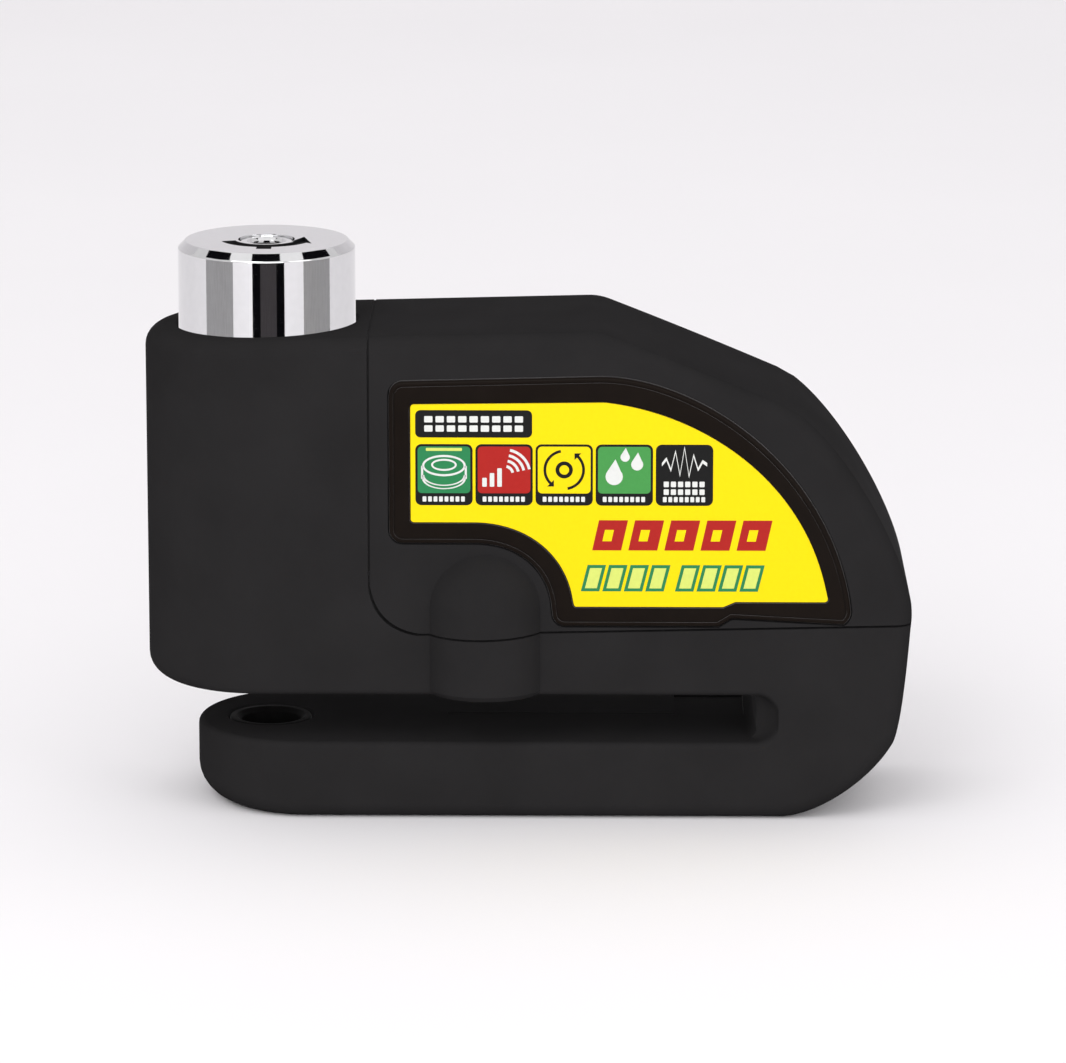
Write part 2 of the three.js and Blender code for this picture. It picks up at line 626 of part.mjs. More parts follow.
function barrelSeal() {
  const SIDES = 6;
  const section = Array.from({ length: SIDES + 1 }, (_, i) => {
    const angle = 2 * Math.PI * i / SIDES;
    return [12.46 + 0.48 * Math.cos(angle), 62 + 0.48 * Math.sin(angle)];
  });
  return turned(section, 36);
}

function guideScrew() {
  const end = SEAM_X - AXIS_X - 0.25;
  return bar(0, GUIDE.z, GUIDE.radius, GUIDE.tip, end, 20)
    .subtract(bar(0, GUIDE.z, 0.8, end - 1.2, end + 1, 6));
}

function returnSpring() {
  const foot = BORE_FLOOR + 1.9;
  return spring(() => 6.6, CARRIER.bottom - 0.65 - foot, 6, 0.5).translate([0, 0, foot]);
}

// ---------------------------------------------------------------- alarm module

function moduleChassis() {
  const floor = DECK_TOP + 0.3;
  const plate = floor + 1.8;
  const base = box(SEAM_X + 7, RIGHT_X - 5, -HALF + WALL + 0.8, HALF - WALL - 0.8, floor, plate);
  const saddle = (x) => box(x - 1, x + 1, CELL.y - 6.2, CELL.y + 6.2, plate - 0.5, CELL.z - 3);
  const tab = (x) => box(x - 1.9, x + 1.9, BOARD.y1 + 0.1, BOARD.y1 + 2.1, plate - 0.5, 43.5);
  const bracket = box(20.6, 39, 2.8, 4.6, plate - 0.5, 47).subtract(rod(SIREN.x, SIREN.z, 4, 0, 8));
  const { left, right, z } = BOARD_SCREWS;
  return base.add(saddle(-10.5)).add(saddle(right)).add(tab(left)).add(tab(right)).add(bracket)
    .subtract(bar(CELL.y, CELL.z, 7.2, -FAR, FAR, 28))
    .subtract(post(BOSS.x, BOSS.y, POST_RADIUS + 0.3, 0, FAR))
    .subtract(post(REAR_POST.x, REAR_POST.y, REAR_POST.radius + 0.3, 0, POST_TOP + 0.3))
    .subtract(box(REAR_POST.x - 1.9, REAR_POST.x + 1.9, REAR_POST.y, HALF, 0, POST_TOP + 0.3))
    .subtract(rod(SIREN.x, SIREN.z, SIREN.radius + 0.15, SIREN.back - 0.15, FAR, 32))
    .subtract(rod(left, z, 0.95, -FAR, 0, 14))
    .subtract(rod(right, z, 0.95, -FAR, 0, 14));
}

function circuitBoard() {
  const { x0, x1, z0, z1, y0, y1 } = BOARD;
  const { left, right, z } = BOARD_SCREWS;
  return frontPrism(shapeFrom([[x0, z0], [x1, z0], [x1, z1 - 1.5], [x1 - 3, z1], [x0, z1]]), y0, y1)
    .subtract(rod(left, z, 1.05, -FAR, 0, 14))
    .subtract(rod(right, z, 1.05, -FAR, 0, 14));
}

function boardScrew(x) {
  const head = BOARD.y0 - 0.1;
  const { z } = BOARD_SCREWS;
  return rod(x, z, 1.6, head - 0.7, head, 18).add(rod(x, z, 0.85, head - 0.1, BOARD.y1 + 1.8, 14))
    .subtract(box(x - 1.2, x + 1.2, head - 2, head - 0.35, z - 0.2, z + 0.2));
}

function buttonCell() {
  const { radius, height } = CELL;
  return turned([
    [0, 0], [radius - 1.2, 0], [radius - 1.1, 0.5], [radius, 0.5], [radius, height], [0, height],
  ], 20).rotate([0, 90, 0]);
}

function batterySleeve() {
  return bar(0, 0, 7, -18.4, 18.3, 28).subtract(bar(0, 0, 6.1, -17.7, FAR, 28))
    .subtract(box(-12, 12, -2, 2, -FAR, -3));
}

function batteryCap() {
  return bar(0, 0, 7, 18.4, 19.4, 28).add(bar(0, 0, 2, 19.3, 19.9, 16));
}

function sirenCup() {
  const depth = SIREN.front - SIREN.back;
  return turned([
    [0, 0], [SIREN.radius - 0.8, 0], [SIREN.radius, 0.8], [SIREN.radius, depth],
    [SIREN.radius - 0.9, depth], [SIREN.radius - 0.9, 3.2], [SIREN.radius - 2.2, 3.2],
    [SIREN.radius - 2.2, 1.2], [0, 1.2],
  ], 32);
}

// ---------------------------------------------------------------- assembly

const lock = new THREE.Group();
lock.position.y = BULGE / 2;

function group(x, y, z) {
  const made = new THREE.Group();
  made.position.set(x, y, z);
  lock.add(made);
  return made;
}

const housingGroup = group(0, 0, 0);
const axisGroup = group(AXIS_X, 0, 0);
const batteryGroup = group(0, CELL.y, CELL.z);
const sirenGroup = group(SIREN.x, SIREN.back, SIREN.z);

function place(parent, name, solid, material) {
  const mesh = new THREE.Mesh(geometryOf(solid), material);
  mesh.name = name;
  parent.add(mesh);
  return mesh;
}

const shell = envelope();
place(housingGroup, 'lock_body', lockBody(shell), blackPaint);
place(housingGroup, 'alarm_housing', alarmHousing(shell), blackPaint);
place(housingGroup, 'label_bezel', labelBezel(), blackPlastic);
place(housingGroup, 'label_sheet', labelSheet(), yellowPrint);
place(housingGroup, 'housing_gasket', housingGasket(), rubber);
place(housingGroup, 'housing_screw_front', housingScrew(BOSS), steel);
place(housingGroup, 'housing_screw_rear', housingScrew(REAR_POST), steel);
place(housingGroup, 'threaded_insert_front', threadedInsert(BOSS), brass);
place(housingGroup, 'threaded_insert_rear', threadedInsert(REAR_POST), brass);

place(axisGroup, 'push_sleeve', pushSleeve(), chrome);
place(axisGroup, 'cylinder_shell', cylinderShell(), brass);
place(axisGroup, 'shell_pin', rod(0, SHELL_PIN.z, SHELL_PIN.radius, SHELL_PIN.from, SHELL_PIN.to, 16), steel);
place(axisGroup, 'core_plug', corePlug(), chrome);
for (let i = 0; i < WAFER.count; i++) place(axisGroup, `wafer_${i + 1}`, wafer(i), brass);
place(axisGroup, 'core_clip', coreClip(), steel);
place(axisGroup, 'cam_disc', camDisc(), steel);
place(axisGroup, 'latch_bolt', latchBolt(), steel);
place(axisGroup, 'pin_carrier', pinCarrier(), steel);
place(axisGroup, 'lock_pin', lockPin(), chrome);
place(axisGroup, 'carrier_pin',
  rod(0, CARRIER_PIN.z, CARRIER_PIN.radius, -CARRIER_PIN.half, CARRIER_PIN.half, 16), steel);
place(axisGroup, 'switch_magnet',
  along(bar(0, MAGNET.z, MAGNET.radius, MAGNET.from, MAGNET.to, 20), MAGNET.angle), steel);
place(axisGroup, 'pin_bushing', pinBushing(), steel);
place(axisGroup, 'jaw_bushing', jawBushing(), steel);
place(axisGroup, 'barrel_seal', barrelSeal(), rubber);
place(axisGroup, 'guide_screw', guideScrew(), steel);
place(axisGroup, 'return_spring', returnSpring(), steel);

place(housingGroup, 'module_chassis', moduleChassis(), greyPlastic);
place(housingGroup, 'circuit_board', circuitBoard(), boardGreen);
place(housingGroup, 'board_screw_left', boardScrew(BOARD_SCREWS.left), steel);
place(housingGroup, 'board_screw_right', boardScrew(BOARD_SCREWS.right), steel);
const onBoard = BOARD.y1 + 0.1;
place(housingGroup, 'controller_chip', box(-1.5, 5.5, onBoard, onBoard + 1.4, 47, 54), blackPlastic);
place(housingGroup, 'shock_sensor', post(-6.5, onBoard + 2.3, 2.2, 43, 52, 24), steel);
place(housingGroup, 'reed_sensor', post(-15.6, onBoard + 1.2, 1.1, 46, 56, 16), ceramic);
place(housingGroup, 'step_up_coil', rod(11, 51, 4.2, onBoard, onBoard + 6, 28), copper);
place(housingGroup, 'capacitor', rod(2, 43.5, 2.5, onBoard, onBoard + 7, 24), blackPlastic);

place(batteryGroup, 'battery_sleeve', batterySleeve(), greyPlastic);
place(batteryGroup, 'battery_cap', batteryCap(), greyPlastic);
place(batteryGroup, 'battery_spring',
  spring((t) => 5 - 2.6 * t, 1.3, 2.5, 0.3).rotate([0, 90, 0]).translate([-17.2, 0, 0]), steel);
place(batteryGroup, 'battery_plate', bar(0, 0, 5.4, 17.8, 18.1, 28), steel);
for (let i = 0; i < CELL.count; i++) {
  const cell = place(batteryGroup, `button_cell_${i + 1}`, buttonCell(), steel);
  cell.position.x = CELL.x + i * (CELL.height + 0.08);
}

// The siren's pieces are turned round +Z and then laid back, so that they open to the rear.
sirenGroup.rotation.x = -Math.PI / 2;
place(sirenGroup, 'siren_cup', sirenCup(), blackPlastic);
place(sirenGroup, 'siren_diaphragm', post(0, 0, SIREN.radius - 1.1, 3.4, 3.8, 32), brass);
place(sirenGroup, 'piezo_ceramic', post(0, 0, 6.2, 3.95, 4.3, 28), ceramic);
place(sirenGroup, 'siren_mesh', ring(SIREN.radius - 1.2, 0.6, 6.6, 7, 32), steel);

place(housingGroup, 'battery_wire_positive', tube([
  [20.5, -1, 48.2], [20.4, -4, 47.4], [19.6, -7, 46.6], [18.6, -10, 46.4],
], 0.45), redWire);
place(housingGroup, 'battery_wire_negative', tube([
  [-13.5, 2, 44.8], [-13.5, -2, 43.6], [-12.4, -6.5, 44.2], [-12, -10, 44.6],
], 0.45), blackWire);
place(housingGroup, 'siren_wire_positive', tube([
  [28.6, 4.4, 41.6], [27.6, 0.5, 41.4], [23.4, -6, 42.8], [18.6, -10, 43.2],
], 0.45), redWire);
place(housingGroup, 'siren_wire_negative', tube([
  [31.4, 4.4, 40], [29.6, 0, 38.6], [24, -6, 39.6], [18.6, -10, 40.4],
], 0.45), blackWire);

const root = new THREE.Group();
root.add(lock);

export default root;
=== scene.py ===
"""The alarm disc lock's visible pieces, materials and studio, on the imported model's frame.

Lengths in the shape functions are millimetres in the row frame, +Z up, with the label side facing -Y.
They are turned into metres where a mesh is made. Lengths in the studio functions are metres.
"""
import json
import math

import bmesh
import bpy
from mathutils import Matrix, Vector


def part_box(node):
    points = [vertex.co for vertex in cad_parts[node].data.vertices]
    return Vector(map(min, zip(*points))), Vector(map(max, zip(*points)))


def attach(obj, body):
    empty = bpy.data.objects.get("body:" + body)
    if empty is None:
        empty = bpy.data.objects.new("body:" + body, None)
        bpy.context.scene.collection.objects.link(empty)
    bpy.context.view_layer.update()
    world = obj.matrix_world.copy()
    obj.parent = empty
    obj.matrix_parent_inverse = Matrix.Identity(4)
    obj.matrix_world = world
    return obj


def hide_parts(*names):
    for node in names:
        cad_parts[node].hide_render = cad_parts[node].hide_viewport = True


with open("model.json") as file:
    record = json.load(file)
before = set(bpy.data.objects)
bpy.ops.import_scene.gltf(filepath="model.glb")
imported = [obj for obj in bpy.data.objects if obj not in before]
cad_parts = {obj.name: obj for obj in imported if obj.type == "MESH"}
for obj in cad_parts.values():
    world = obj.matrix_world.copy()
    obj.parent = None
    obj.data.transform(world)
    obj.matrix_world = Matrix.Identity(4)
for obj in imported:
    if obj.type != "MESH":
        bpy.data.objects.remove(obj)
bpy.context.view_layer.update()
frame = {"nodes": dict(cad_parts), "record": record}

MM = 0.001


# ---------------------------------------------------------------- places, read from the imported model

def box_mm(node):
    low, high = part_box(node)
    return Vector(low) / MM, Vector(high) / MM


def middle(node):
    low, high = box_mm(node)
    return (low + high) / 2


def mount_z(name):
    for mount in frame["record"]["mounts"]:
        if mount["name"] == name:
            return mount["pos_m"][2] / MM
    raise KeyError(name)


BODY_LOW = box_mm("lock_body")[0]
HOUSING_LOW, HOUSING_HIGH = box_mm("alarm_housing")
SLEEVE_LOW, SLEEVE_HIGH = box_mm("push_sleeve")
PLUG_LOW, PLUG_HIGH = box_mm("core_plug")
PIN_LOW, PIN_HIGH = box_mm("lock_pin")
SIREN = middle("siren_mesh")
FRONT_SCREW = middle("housing_screw_front")
REAR_SCREW = middle("housing_screw_rear")
AXIS = middle("push_sleeve")
AXIS_X = round(AXIS.x, 3)
MID_Y = round(AXIS.y, 3)

HALF = 15.0
FRONT_Y = MID_Y - HALF
BACK_Y = MID_Y + HALF
JAW_X = -44.9
SLOT_FLOOR = mount_z("slot_lower_face")
SLOT_CEILING = mount_z("slot_upper_face")
RIGHT_X = HOUSING_HIGH.x
LEFT_X = BODY_LOW.x
BARREL_TOP = 64.95
SHOULDER_X = 9.6
SHOULDER_Z = 66.45
TOP_SLOPE = (SHOULDER_Z - BARREL_TOP) / (SHOULDER_X - LEFT_X)
SEAM_GAP = 0.3
SEAM_X = HOUSING_LOW.x - SEAM_GAP
SEAM_Z = 25.3
SEAM_SLOPE = 0.021
SEAM_RADIUS = 6.5
EDGE = 2.2
WALL = 2.2
FAR = 100.0
ABOVE = 80


# ---------------------------------------------------------------- outlines

def curve(start, control_a, control_b, end, count=24):
    """Points of a cubic curve after its start."""
    points = []
    for k in range(1, count + 1):
        t = k / count
        u = 1 - t
        weights = (u ** 3, 3 * u * u * t, 3 * u * t * t, t ** 3)
        corners = (start, control_a, control_b, end)
        points.append(tuple(sum(w * c[i] for w, c in zip(weights, corners)) for i in (0, 1)))
    return points


def bend(start, control, end, count=12):
    """Points of a quadratic curve after its start."""
    points = []
    for k in range(1, count + 1):
        t = k / count
        u = 1 - t
        points.append(tuple(u * u * start[i] + 2 * u * t * control[i] + t * t * end[i] for i in (0, 1)))
    return points


def corner_arc(before, here, after, radius, steps):
    """The arc that rounds the corner at here, between the points before and after it."""
    point = Vector(here[:2])
    to_before = (Vector(before[:2]) - point).normalized()
    to_after = (Vector(after[:2]) - point).normalized()
    half = to_before.angle(to_after) / 2
    centre = point + (to_before + to_after).normalized() * radius / math.sin(half)
    start = point + to_before * radius / math.tan(half) - centre
    end = point + to_after * radius / math.tan(half) - centre
    first = math.atan2(start.y, start.x)
    sweep = (math.atan2(end.y, end.x) - first + math.pi) % (2 * math.pi) - math.pi
    angles = [first + sweep * k / steps for k in range(steps + 1)]
    return [(centre.x + radius * math.cos(a), centre.y + radius * math.sin(a)) for a in angles]


def rounded(corners, segments=8):
    """A polygon from (x, z, radius) corners, with an arc at each corner that has a radius."""
    points = []
    for i, corner in enumerate(corners):
        x, z, radius = corner
        if radius:
            points += corner_arc(corners[i - 1], corner, corners[(i + 1) % len(corners)], radius, segments)
        else:
            points.append((x, z))
    return points


def inset(points, distance):
    """A closed anticlockwise outline moved inwards, with mitred corners."""
    if not distance:
        return list(points)
    moved = []
    for i, point in enumerate(points):
        here = Vector(point)
        a = (here - Vector(points[i - 1])).normalized()
        b = (Vector(points[(i + 1) % len(points)]) - here).normalized()
        normal = Vector((-a.y - b.y, a.x + b.x)).normalized()
        mitre = distance / max(0.4, abs(normal.dot(Vector((-a.y, a.x)))))
        moved.append(tuple(here + normal * mitre))
    return moved


def top_z(x):
    """The height of the sloping top, from the barrel to the shoulder."""
    return BARREL_TOP + TOP_SLOPE * (x - LEFT_X)


def side_outline():
    """The lock as seen from the front, without the round left ends of its barrel and jaw."""
    waist = AXIS_X + 7.1
    heel = (34, 0)
    chin = (49.1, 10.2)
    cheek = (RIGHT_X - 0.2, 26)
    temple = (RIGHT_X - 0.15, 29.4)
    brow = (36.2, 55.2)
    crown = (33.9, 56.5)
    shoulder = (SHOULDER_X + 1.5, SHOULDER_Z - 0.6)
    points = [(waist, 0), heel]
    points += curve(heel, (39, 0), (46.2, 5), chin, 30)
    points += bend(chin, (50.3, 12.4), cheek, 20)
    points += bend(cheek, (RIGHT_X + 0.05, 27.6), temple, 4)
    points += curve(temple, (50.2, 36.9), (42.8, 50.1), brow, 32)
    points += bend(brow, (35.1, 55.8), crown, 5)
    points += bend(crown, (22.5, 61.4), shoulder, 18)
    points += bend(shoulder, (SHOULDER_X, SHOULDER_Z), (SHOULDER_X - 1.5, top_z(SHOULDER_X - 1.5)), 8)
    points.append((waist, top_z(waist)))
    return points


def seam_z(x):
    return SEAM_Z + SEAM_SLOPE * (x - SEAM_X - SEAM_RADIUS)


def housing_zone(gap):
    """Everything on the alarm housing's side of the seam, moved away from the seam by gap."""
    left = SEAM_X + gap
    corner = left + SEAM_RADIUS
    foot = seam_z(corner) + gap
    points = [(FAR, seam_z(FAR) + gap), (FAR, FAR), (left, FAR), (left, foot + SEAM_RADIUS)]
    points += bend((left, foot + SEAM_RADIUS), (left + 0.9, foot + 0.9), (corner, foot), 14)
    return points


def bezel_outline():
    """The dark frame round the label. It steps up at the right and curves round the screw boss."""
    points = [(25.6, 26.5), (27.4, 27.6)]
    points += rounded([(0, 0, 0), (43.6, 27.6, 2.3), (43.1, 31.0, 0)], 8)[1:]
    points += curve((43.1, 31.0), (39.2, 50.4), (21.5, 60.9), (9.7, 60.8), 40)
    points += rounded([(9.7, 60.8, 0), (-18.5, 60.1, 2.1), (-18.5, 37.8, 2.0), (-7, 37.8, 0)], 8)[1:]
    points += curve((-7, 37.8), (-1.5, 37.8), (2.6, 34.6), (3.1, 29.4), 20)
    points += rounded([(3.1, 29.4, 0), (3.4, 26.5, 1.9), (25.6, 26.5, 0)], 8)[1:-1]
    return points


def label_outline():
    points = [(26.2, 29.3), (27.8, 30)]
    points += rounded([(0, 30, 0), (40.3, 30, 0.5), (39.7, 32.6, 0)], 5)[1:]
    points += curve((39.7, 32.6), (36, 47.8), (22.3, 55.9), (10.3, 57.2), 36)
    points += rounded([(10.3, 57.2, 0), (-15.5, 56.9, 0.5), (-15.5, 40.8, 0.5), (-6.6, 40.8, 0)], 5)[1:]
    points += curve((-6.6, 40.8), (0.2, 40.6), (5.2, 36.4), (6.1, 30.2), 20)
    points += rounded([(6.1, 30.2, 0), (6.3, 29.3, 0.4), (26.2, 29.3, 0)], 5)[1:-1]
    return points


# ---------------------------------------------------------------- meshes

def object_from(name, bm):
    bmesh.ops.recalc_face_normals(bm, faces=bm.faces)
    mesh = bpy.data.meshes.new(name)
    bm.to_mesh(mesh)
    bm.free()
    made = bpy.data.objects.new(name, mesh)
    bpy.context.scene.collection.objects.link(made)
    return made


def loft(name, rings):
    """A closed skin over a stack of rings of (x, y, z) points, all of the same length."""
    bm = bmesh.new()
    rows = [[bm.verts.new(Vector(point) * MM) for point in ring] for ring in rings]
    count = len(rows[0])
    for below, above in zip(rows, rows[1:]):
        for i in range(count):
            j = (i + 1) % count
            bm.faces.new((below[i], below[j], above[j], above[i]))
    bm.faces.new(rows[0][::-1])
    bm.faces.new(rows[-1])
    return object_from(name, bm)


def rim(radius, steps):
    """(inset, depth) pairs that go round a quarter of a circle from the face to the side."""
    turns = [math.pi / 2 * k / steps for k in range(steps + 1)]
    return [(radius * (1 - math.sin(t)), radius * (1 - math.cos(t))) for t in turns]


def prism(name, outline, y0, y1, front=0.0, back=0.0, steps=6):
    """An outline seen from the front, from y0 to y1, with a round front or back edge."""
    start = rim(front, steps) if front else [(0, 0)]
    end = rim(back, steps) if back else [(0, 0)]
    rings = [[(x, y0 + d, z) for x, z in inset(outline, i)] for i, d in start]
    rings += [[(x, y1 - d, z) for x, z in inset(outline, i)] for i, d in reversed(end)]
    return loft(name, rings)


def plan_prism(name, outline, z0, z1):
    """An outline seen from above, from z0 to z1."""
    return loft(name, [[(x, y, z) for x, y in outline] for z in (z0, z1)])


def block(name, x0, x1, y0, y1, z0, z1):
    return plan_prism(name, [(x0, y0), (x1, y0), (x1, y1), (x0, y1)], z0, z1)


def turned(name, profile, x, y, sides=96):
    """A solid of revolution round an upright axis.

    The profile is (radius, z), closed on itself or on the axis.
    """
    bm = bmesh.new()
    rows = []
    for radius, z in profile:
        if radius < 1e-6:
            rows.append([bm.verts.new(Vector((x, y, z)) * MM)])
            continue
        rows.append([
            bm.verts.new(Vector((x + radius * math.cos(a), y + radius * math.sin(a), z)) * MM)
            for a in (2 * math.pi * k / sides for k in range(sides))
        ])
    closed = len(rows[0]) > 1
    pairs = list(zip(rows, rows[1:] + rows[:1])) if closed else list(zip(rows, rows[1:]))
    for below, above in pairs:
        for k in range(sides):
            j = (k + 1) % sides
            ring = [row[i % len(row)] for row, i in ((below, k), (below, j), (above, j), (above, k))]
            corners = list(dict.fromkeys(ring))
            if len(corners) > 2:
                bm.faces.new(corners)
    return object_from(name, bm)


def boolean(target, tool, operation):
    """Joins or cuts target with tool, which is used up."""
    modifier = target.modifiers.new("boolean", "BOOLEAN")
    modifier.object = tool
    modifier.operation = operation
    modifier.solver = "MANIFOLD"
    evaluated = target.evaluated_get(bpy.context.evaluated_depsgraph_get())
    mesh = bpy.data.meshes.new_from_object(evaluated)
    target.modifiers.clear()
    target.data = mesh
    bpy.data.objects.remove(tool)
    return target


def cut(target, *tools):
    for tool in tools:
        boolean(target, tool, "DIFFERENCE")
    return target


def join(target, *tools):
    for tool in tools:
        boolean(target, tool, "UNION")
    return target


def copy_of(source, name):
    made = bpy.data.objects.new(name, source.data.copy())
    bpy.context.scene.collection.objects.link(made)
    return made


def shade(piece, angle=32, edge=0.0, segments=2):
    """Smooth shading with sharp creases, rounded by edge, in mm, if it is given."""
    if edge:
        modifier = piece.modifiers.new("edge", "BEVEL")
        modifier.width = edge * MM
        modifier.segments = segments
        modifier.limit_method = "ANGLE"
        modifier.angle_limit = math.radians(angle)
        modifier.use_clamp_overlap = True
        modifier.harden_normals = False
    for polygon in piece.data.polygons:
        polygon.use_smooth = True
    piece.data.set_sharp_from_angle(angle=math.radians(angle))
    weighted = piece.modifiers.new("normals", "WEIGHTED_NORMAL")
    weighted.keep_sharp = True
    weighted.weight = 80
    return piece


# ---------------------------------------------------------------- materials

def noise(nodes, links, place, scale, detail, roughness=0.5):
    made = nodes.new("ShaderNodeTexNoise")
    made.inputs["Scale"].default_value = scale
    made.inputs["Detail"].default_value = detail
    made.inputs["Roughness"].default_value = roughness
    links.new(place, made.inputs["Vector"])
    return made.outputs["Fac"]


def spread(nodes, links, value, low, high, start=0.3, stop=0.7):
    """Stretches the middle of a noise to the range low to high."""
    made = nodes.new("ShaderNodeMapRange")
    made.inputs["From Min"].default_value = start
    made.inputs["From Max"].default_value = stop
    made.inputs["To Min"].default_value = low
    made.inputs["To Max"].default_value = high
    links.new(value, made.inputs["Value"])
    return made.outputs["Result"]


def material(name, base, tone=0.08, rough=(0.4, 0.5), metallic=0.0, specular=0.5, scale=400,
             stretch=(1, 1, 1), grain=0.0, grain_scale=2500, waves=0.0, waves_scale=300):
    """A surface from noise in object space.

    tone is how far the colour strays from base, rough the range of the roughness, and grain and waves
    the strength of a fine and a broad relief.
    """
    made = bpy.data.materials.new(name)
    made.use_nodes = True
    nodes = made.node_tree.nodes
    links = made.node_tree.links
    shader = nodes["Principled BSDF"]
    shader.inputs["Metallic"].default_value = metallic
    shader.inputs["Specular IOR Level"].default_value = specular
    texture = nodes.new("ShaderNodeTexCoord")
    mapping = nodes.new("ShaderNodeMapping")
    mapping.inputs["Scale"].default_value = stretch
    links.new(texture.outputs["Object"], mapping.inputs["Vector"])
    place = mapping.outputs["Vector"]

    ramp = nodes.new("ShaderNodeValToRGB")
    ramp.color_ramp.elements[0].position = 0.3
    ramp.color_ramp.elements[1].position = 0.7
    ramp.color_ramp.elements[0].color = (*(c * (1 - tone) for c in base), 1)
    ramp.color_ramp.elements[1].color = (*(min(1, c * (1 + tone)) for c in base), 1)
    links.new(noise(nodes, links, place, scale, 5), ramp.inputs["Fac"])
    links.new(ramp.outputs["Color"], shader.inputs["Base Color"])

    patches = noise(nodes, links, place, scale * 0.3, 6)
    links.new(spread(nodes, links, patches, *rough), shader.inputs["Roughness"])

    normal = None
    broad = (waves, 0.00012, waves_scale, 2)
    fine = (grain, 0.00003, grain_scale, 3)
    for strength, distance, size, detail in (broad, fine):
        if not strength:
            continue
        relief = nodes.new("ShaderNodeBump")
        relief.inputs["Strength"].default_value = strength
        relief.inputs["Distance"].default_value = distance
        links.new(noise(nodes, links, place, size, detail), relief.inputs["Height"])
        if normal:
            links.new(normal, relief.inputs["Normal"])
        normal = relief.outputs["Normal"]
    if normal:
        links.new(normal, shader.inputs["Normal"])
    return made


def dress(piece, surface):
    """Gives a piece one material."""
    piece.data.materials.clear()
    piece.data.materials.append(surface)
    return piece


TURNED = {"metallic": 1, "scale": 1500, "stretch": (0.3, 0.3, 3), "grain": 0.1, "grain_scale": 4000}
PRINT_LOOK = {"rough": (0.5, 0.6), "scale": 1800, "specular": 0.12, "grain": 0.08, "grain_scale": 3500}
INK_LOOK = {"tone": 0.03, **PRINT_LOOK}
PRINT_YELLOW = (0.78, 0.59, 0.0)

BLACK_PAINT = material("satin black paint", (0.0178, 0.0171, 0.0176), 0.08, (0.62, 0.75), specular=0.002,
                       scale=90, waves=0.10, waves_scale=260, grain=0.35, grain_scale=1900)
CHROME = material("polished chrome", (0.70, 0.70, 0.71), 0.02, (0.03, 0.06), metallic=1, scale=900,
                  waves=0.005, waves_scale=900, grain=0.003, grain_scale=3000)
# black paint in the cap's engraved marks; the core's keyway also takes it, as painted shade
ENGRAVING_PAINT_AND_KEYWAY_SHADE = material("black paint in engraved marks", (0.008, 0.008, 0.009), 0.2, (0.5, 0.7), specular=0.2,
                     scale=1500, grain=0.3)
STEEL = material("turned steel", (0.55, 0.55, 0.56), 0.08, (0.2, 0.4), **TURNED)
# steel darkened to near-black: painted shade for the siren mesh inside the housing
STEEL_DARKENED_AS_PAINTED_SHADE = material("steel darkened as painted shade", (0.035, 0.034, 0.034), 0.2, (0.35, 0.5), **TURNED)
ZINC = material("zinc plated screw", (0.48, 0.48, 0.47), 0.08, (0.25, 0.4), metallic=1,
                scale=1500, grain=0.15)
BRASS = material("turned brass", (0.68, 0.48, 0.18), 0.1, (0.22, 0.38), **TURNED)
COPPER = material("enamelled copper wire", (0.45, 0.16, 0.05), 0.2, (0.25, 0.45), metallic=0.9, scale=900,
                  stretch=(0.2, 4, 0.2), grain=0.5)
PHOSPHATED = material("phosphated steel", (0.006, 0.0058, 0.0058), 0.15, (0.6, 0.75), specular=0.02,
                      scale=900, grain=0.2)
RUBBER = material("black rubber", (0.018, 0.018, 0.018), 0.2, (0.65, 0.85), scale=800,
                  grain=0.3, grain_scale=3000)
BEZEL = material("dark gloss plastic", (0.0062, 0.0038, 0.0026), 0.12, (0.34, 0.44), specular=0.06, scale=300,
                 waves=0.06, waves_scale=200, grain=0.12, grain_scale=2200)
DARK_PLASTIC = material("black moulded plastic", (0.02, 0.02, 0.021), 0.15, (0.4, 0.6), scale=600, grain=0.3)
GREY_PLASTIC = material("grey moulded plastic", (0.11, 0.115, 0.12), 0.1, (0.4, 0.6), scale=600, grain=0.3)
YELLOW = material("yellow printed film", PRINT_YELLOW, 0.015, **PRINT_LOOK)
BOARD = material("green board resin", (0.012, 0.12, 0.035), 0.25, (0.27, 0.43), scale=1000, grain=0.2)
CERAMIC = material("fired ceramic", (0.78, 0.75, 0.68), 0.05, (0.45, 0.65), scale=900,
                   grain=0.2, grain_scale=3000)
RED_WIRE = material("red wire insulation", (0.55, 0.015, 0.01), 0.12, (0.35, 0.5), scale=900, grain=0.15)
BLACK_WIRE = material("black wire insulation", (0.012, 0.012, 0.012), 0.2, (0.35, 0.5), scale=900, grain=0.15)

INKS = {
    "black": material("black ink", (0.007, 0.007, 0.007), **INK_LOOK),
    "white": material("white ink", (0.62, 0.63, 0.61), **INK_LOOK),
    "red": material("red ink", (0.35, 0.014, 0.011), **INK_LOOK),
    "green": material("green ink", (0.021, 0.186, 0.067), **INK_LOOK),
    "light_green": material("light green ink", (0.056, 0.26, 0.062), **INK_LOOK),
    "yellow": material("yellow ink", PRINT_YELLOW, **INK_LOOK),
    "pale": material("pale ink", (0.56, 0.63, 0.14), **INK_LOOK),
}

SURFACE_OF_SLOT = {
    "black_paint": BLACK_PAINT,
    "chrome": CHROME,
    "steel": STEEL,
    "brass": BRASS,
    "rubber": RUBBER,
    "bezel_plastic": DARK_PLASTIC,
    "grey_plastic": GREY_PLASTIC,
    "label_print": YELLOW,
    "board_resin": BOARD,
    "ceramic": CERAMIC,
    "copper": COPPER,
    "red_wire": RED_WIRE,
    "black_wire": BLACK_WIRE,
}

# the siren mesh is steel; its dark surface here is painted shade for the dark inside of the housing
SURFACE_OF_NODE = {"siren_mesh": STEEL_DARKENED_AS_PAINTED_SHADE}


# ---------------------------------------------------------------- body and alarm housing

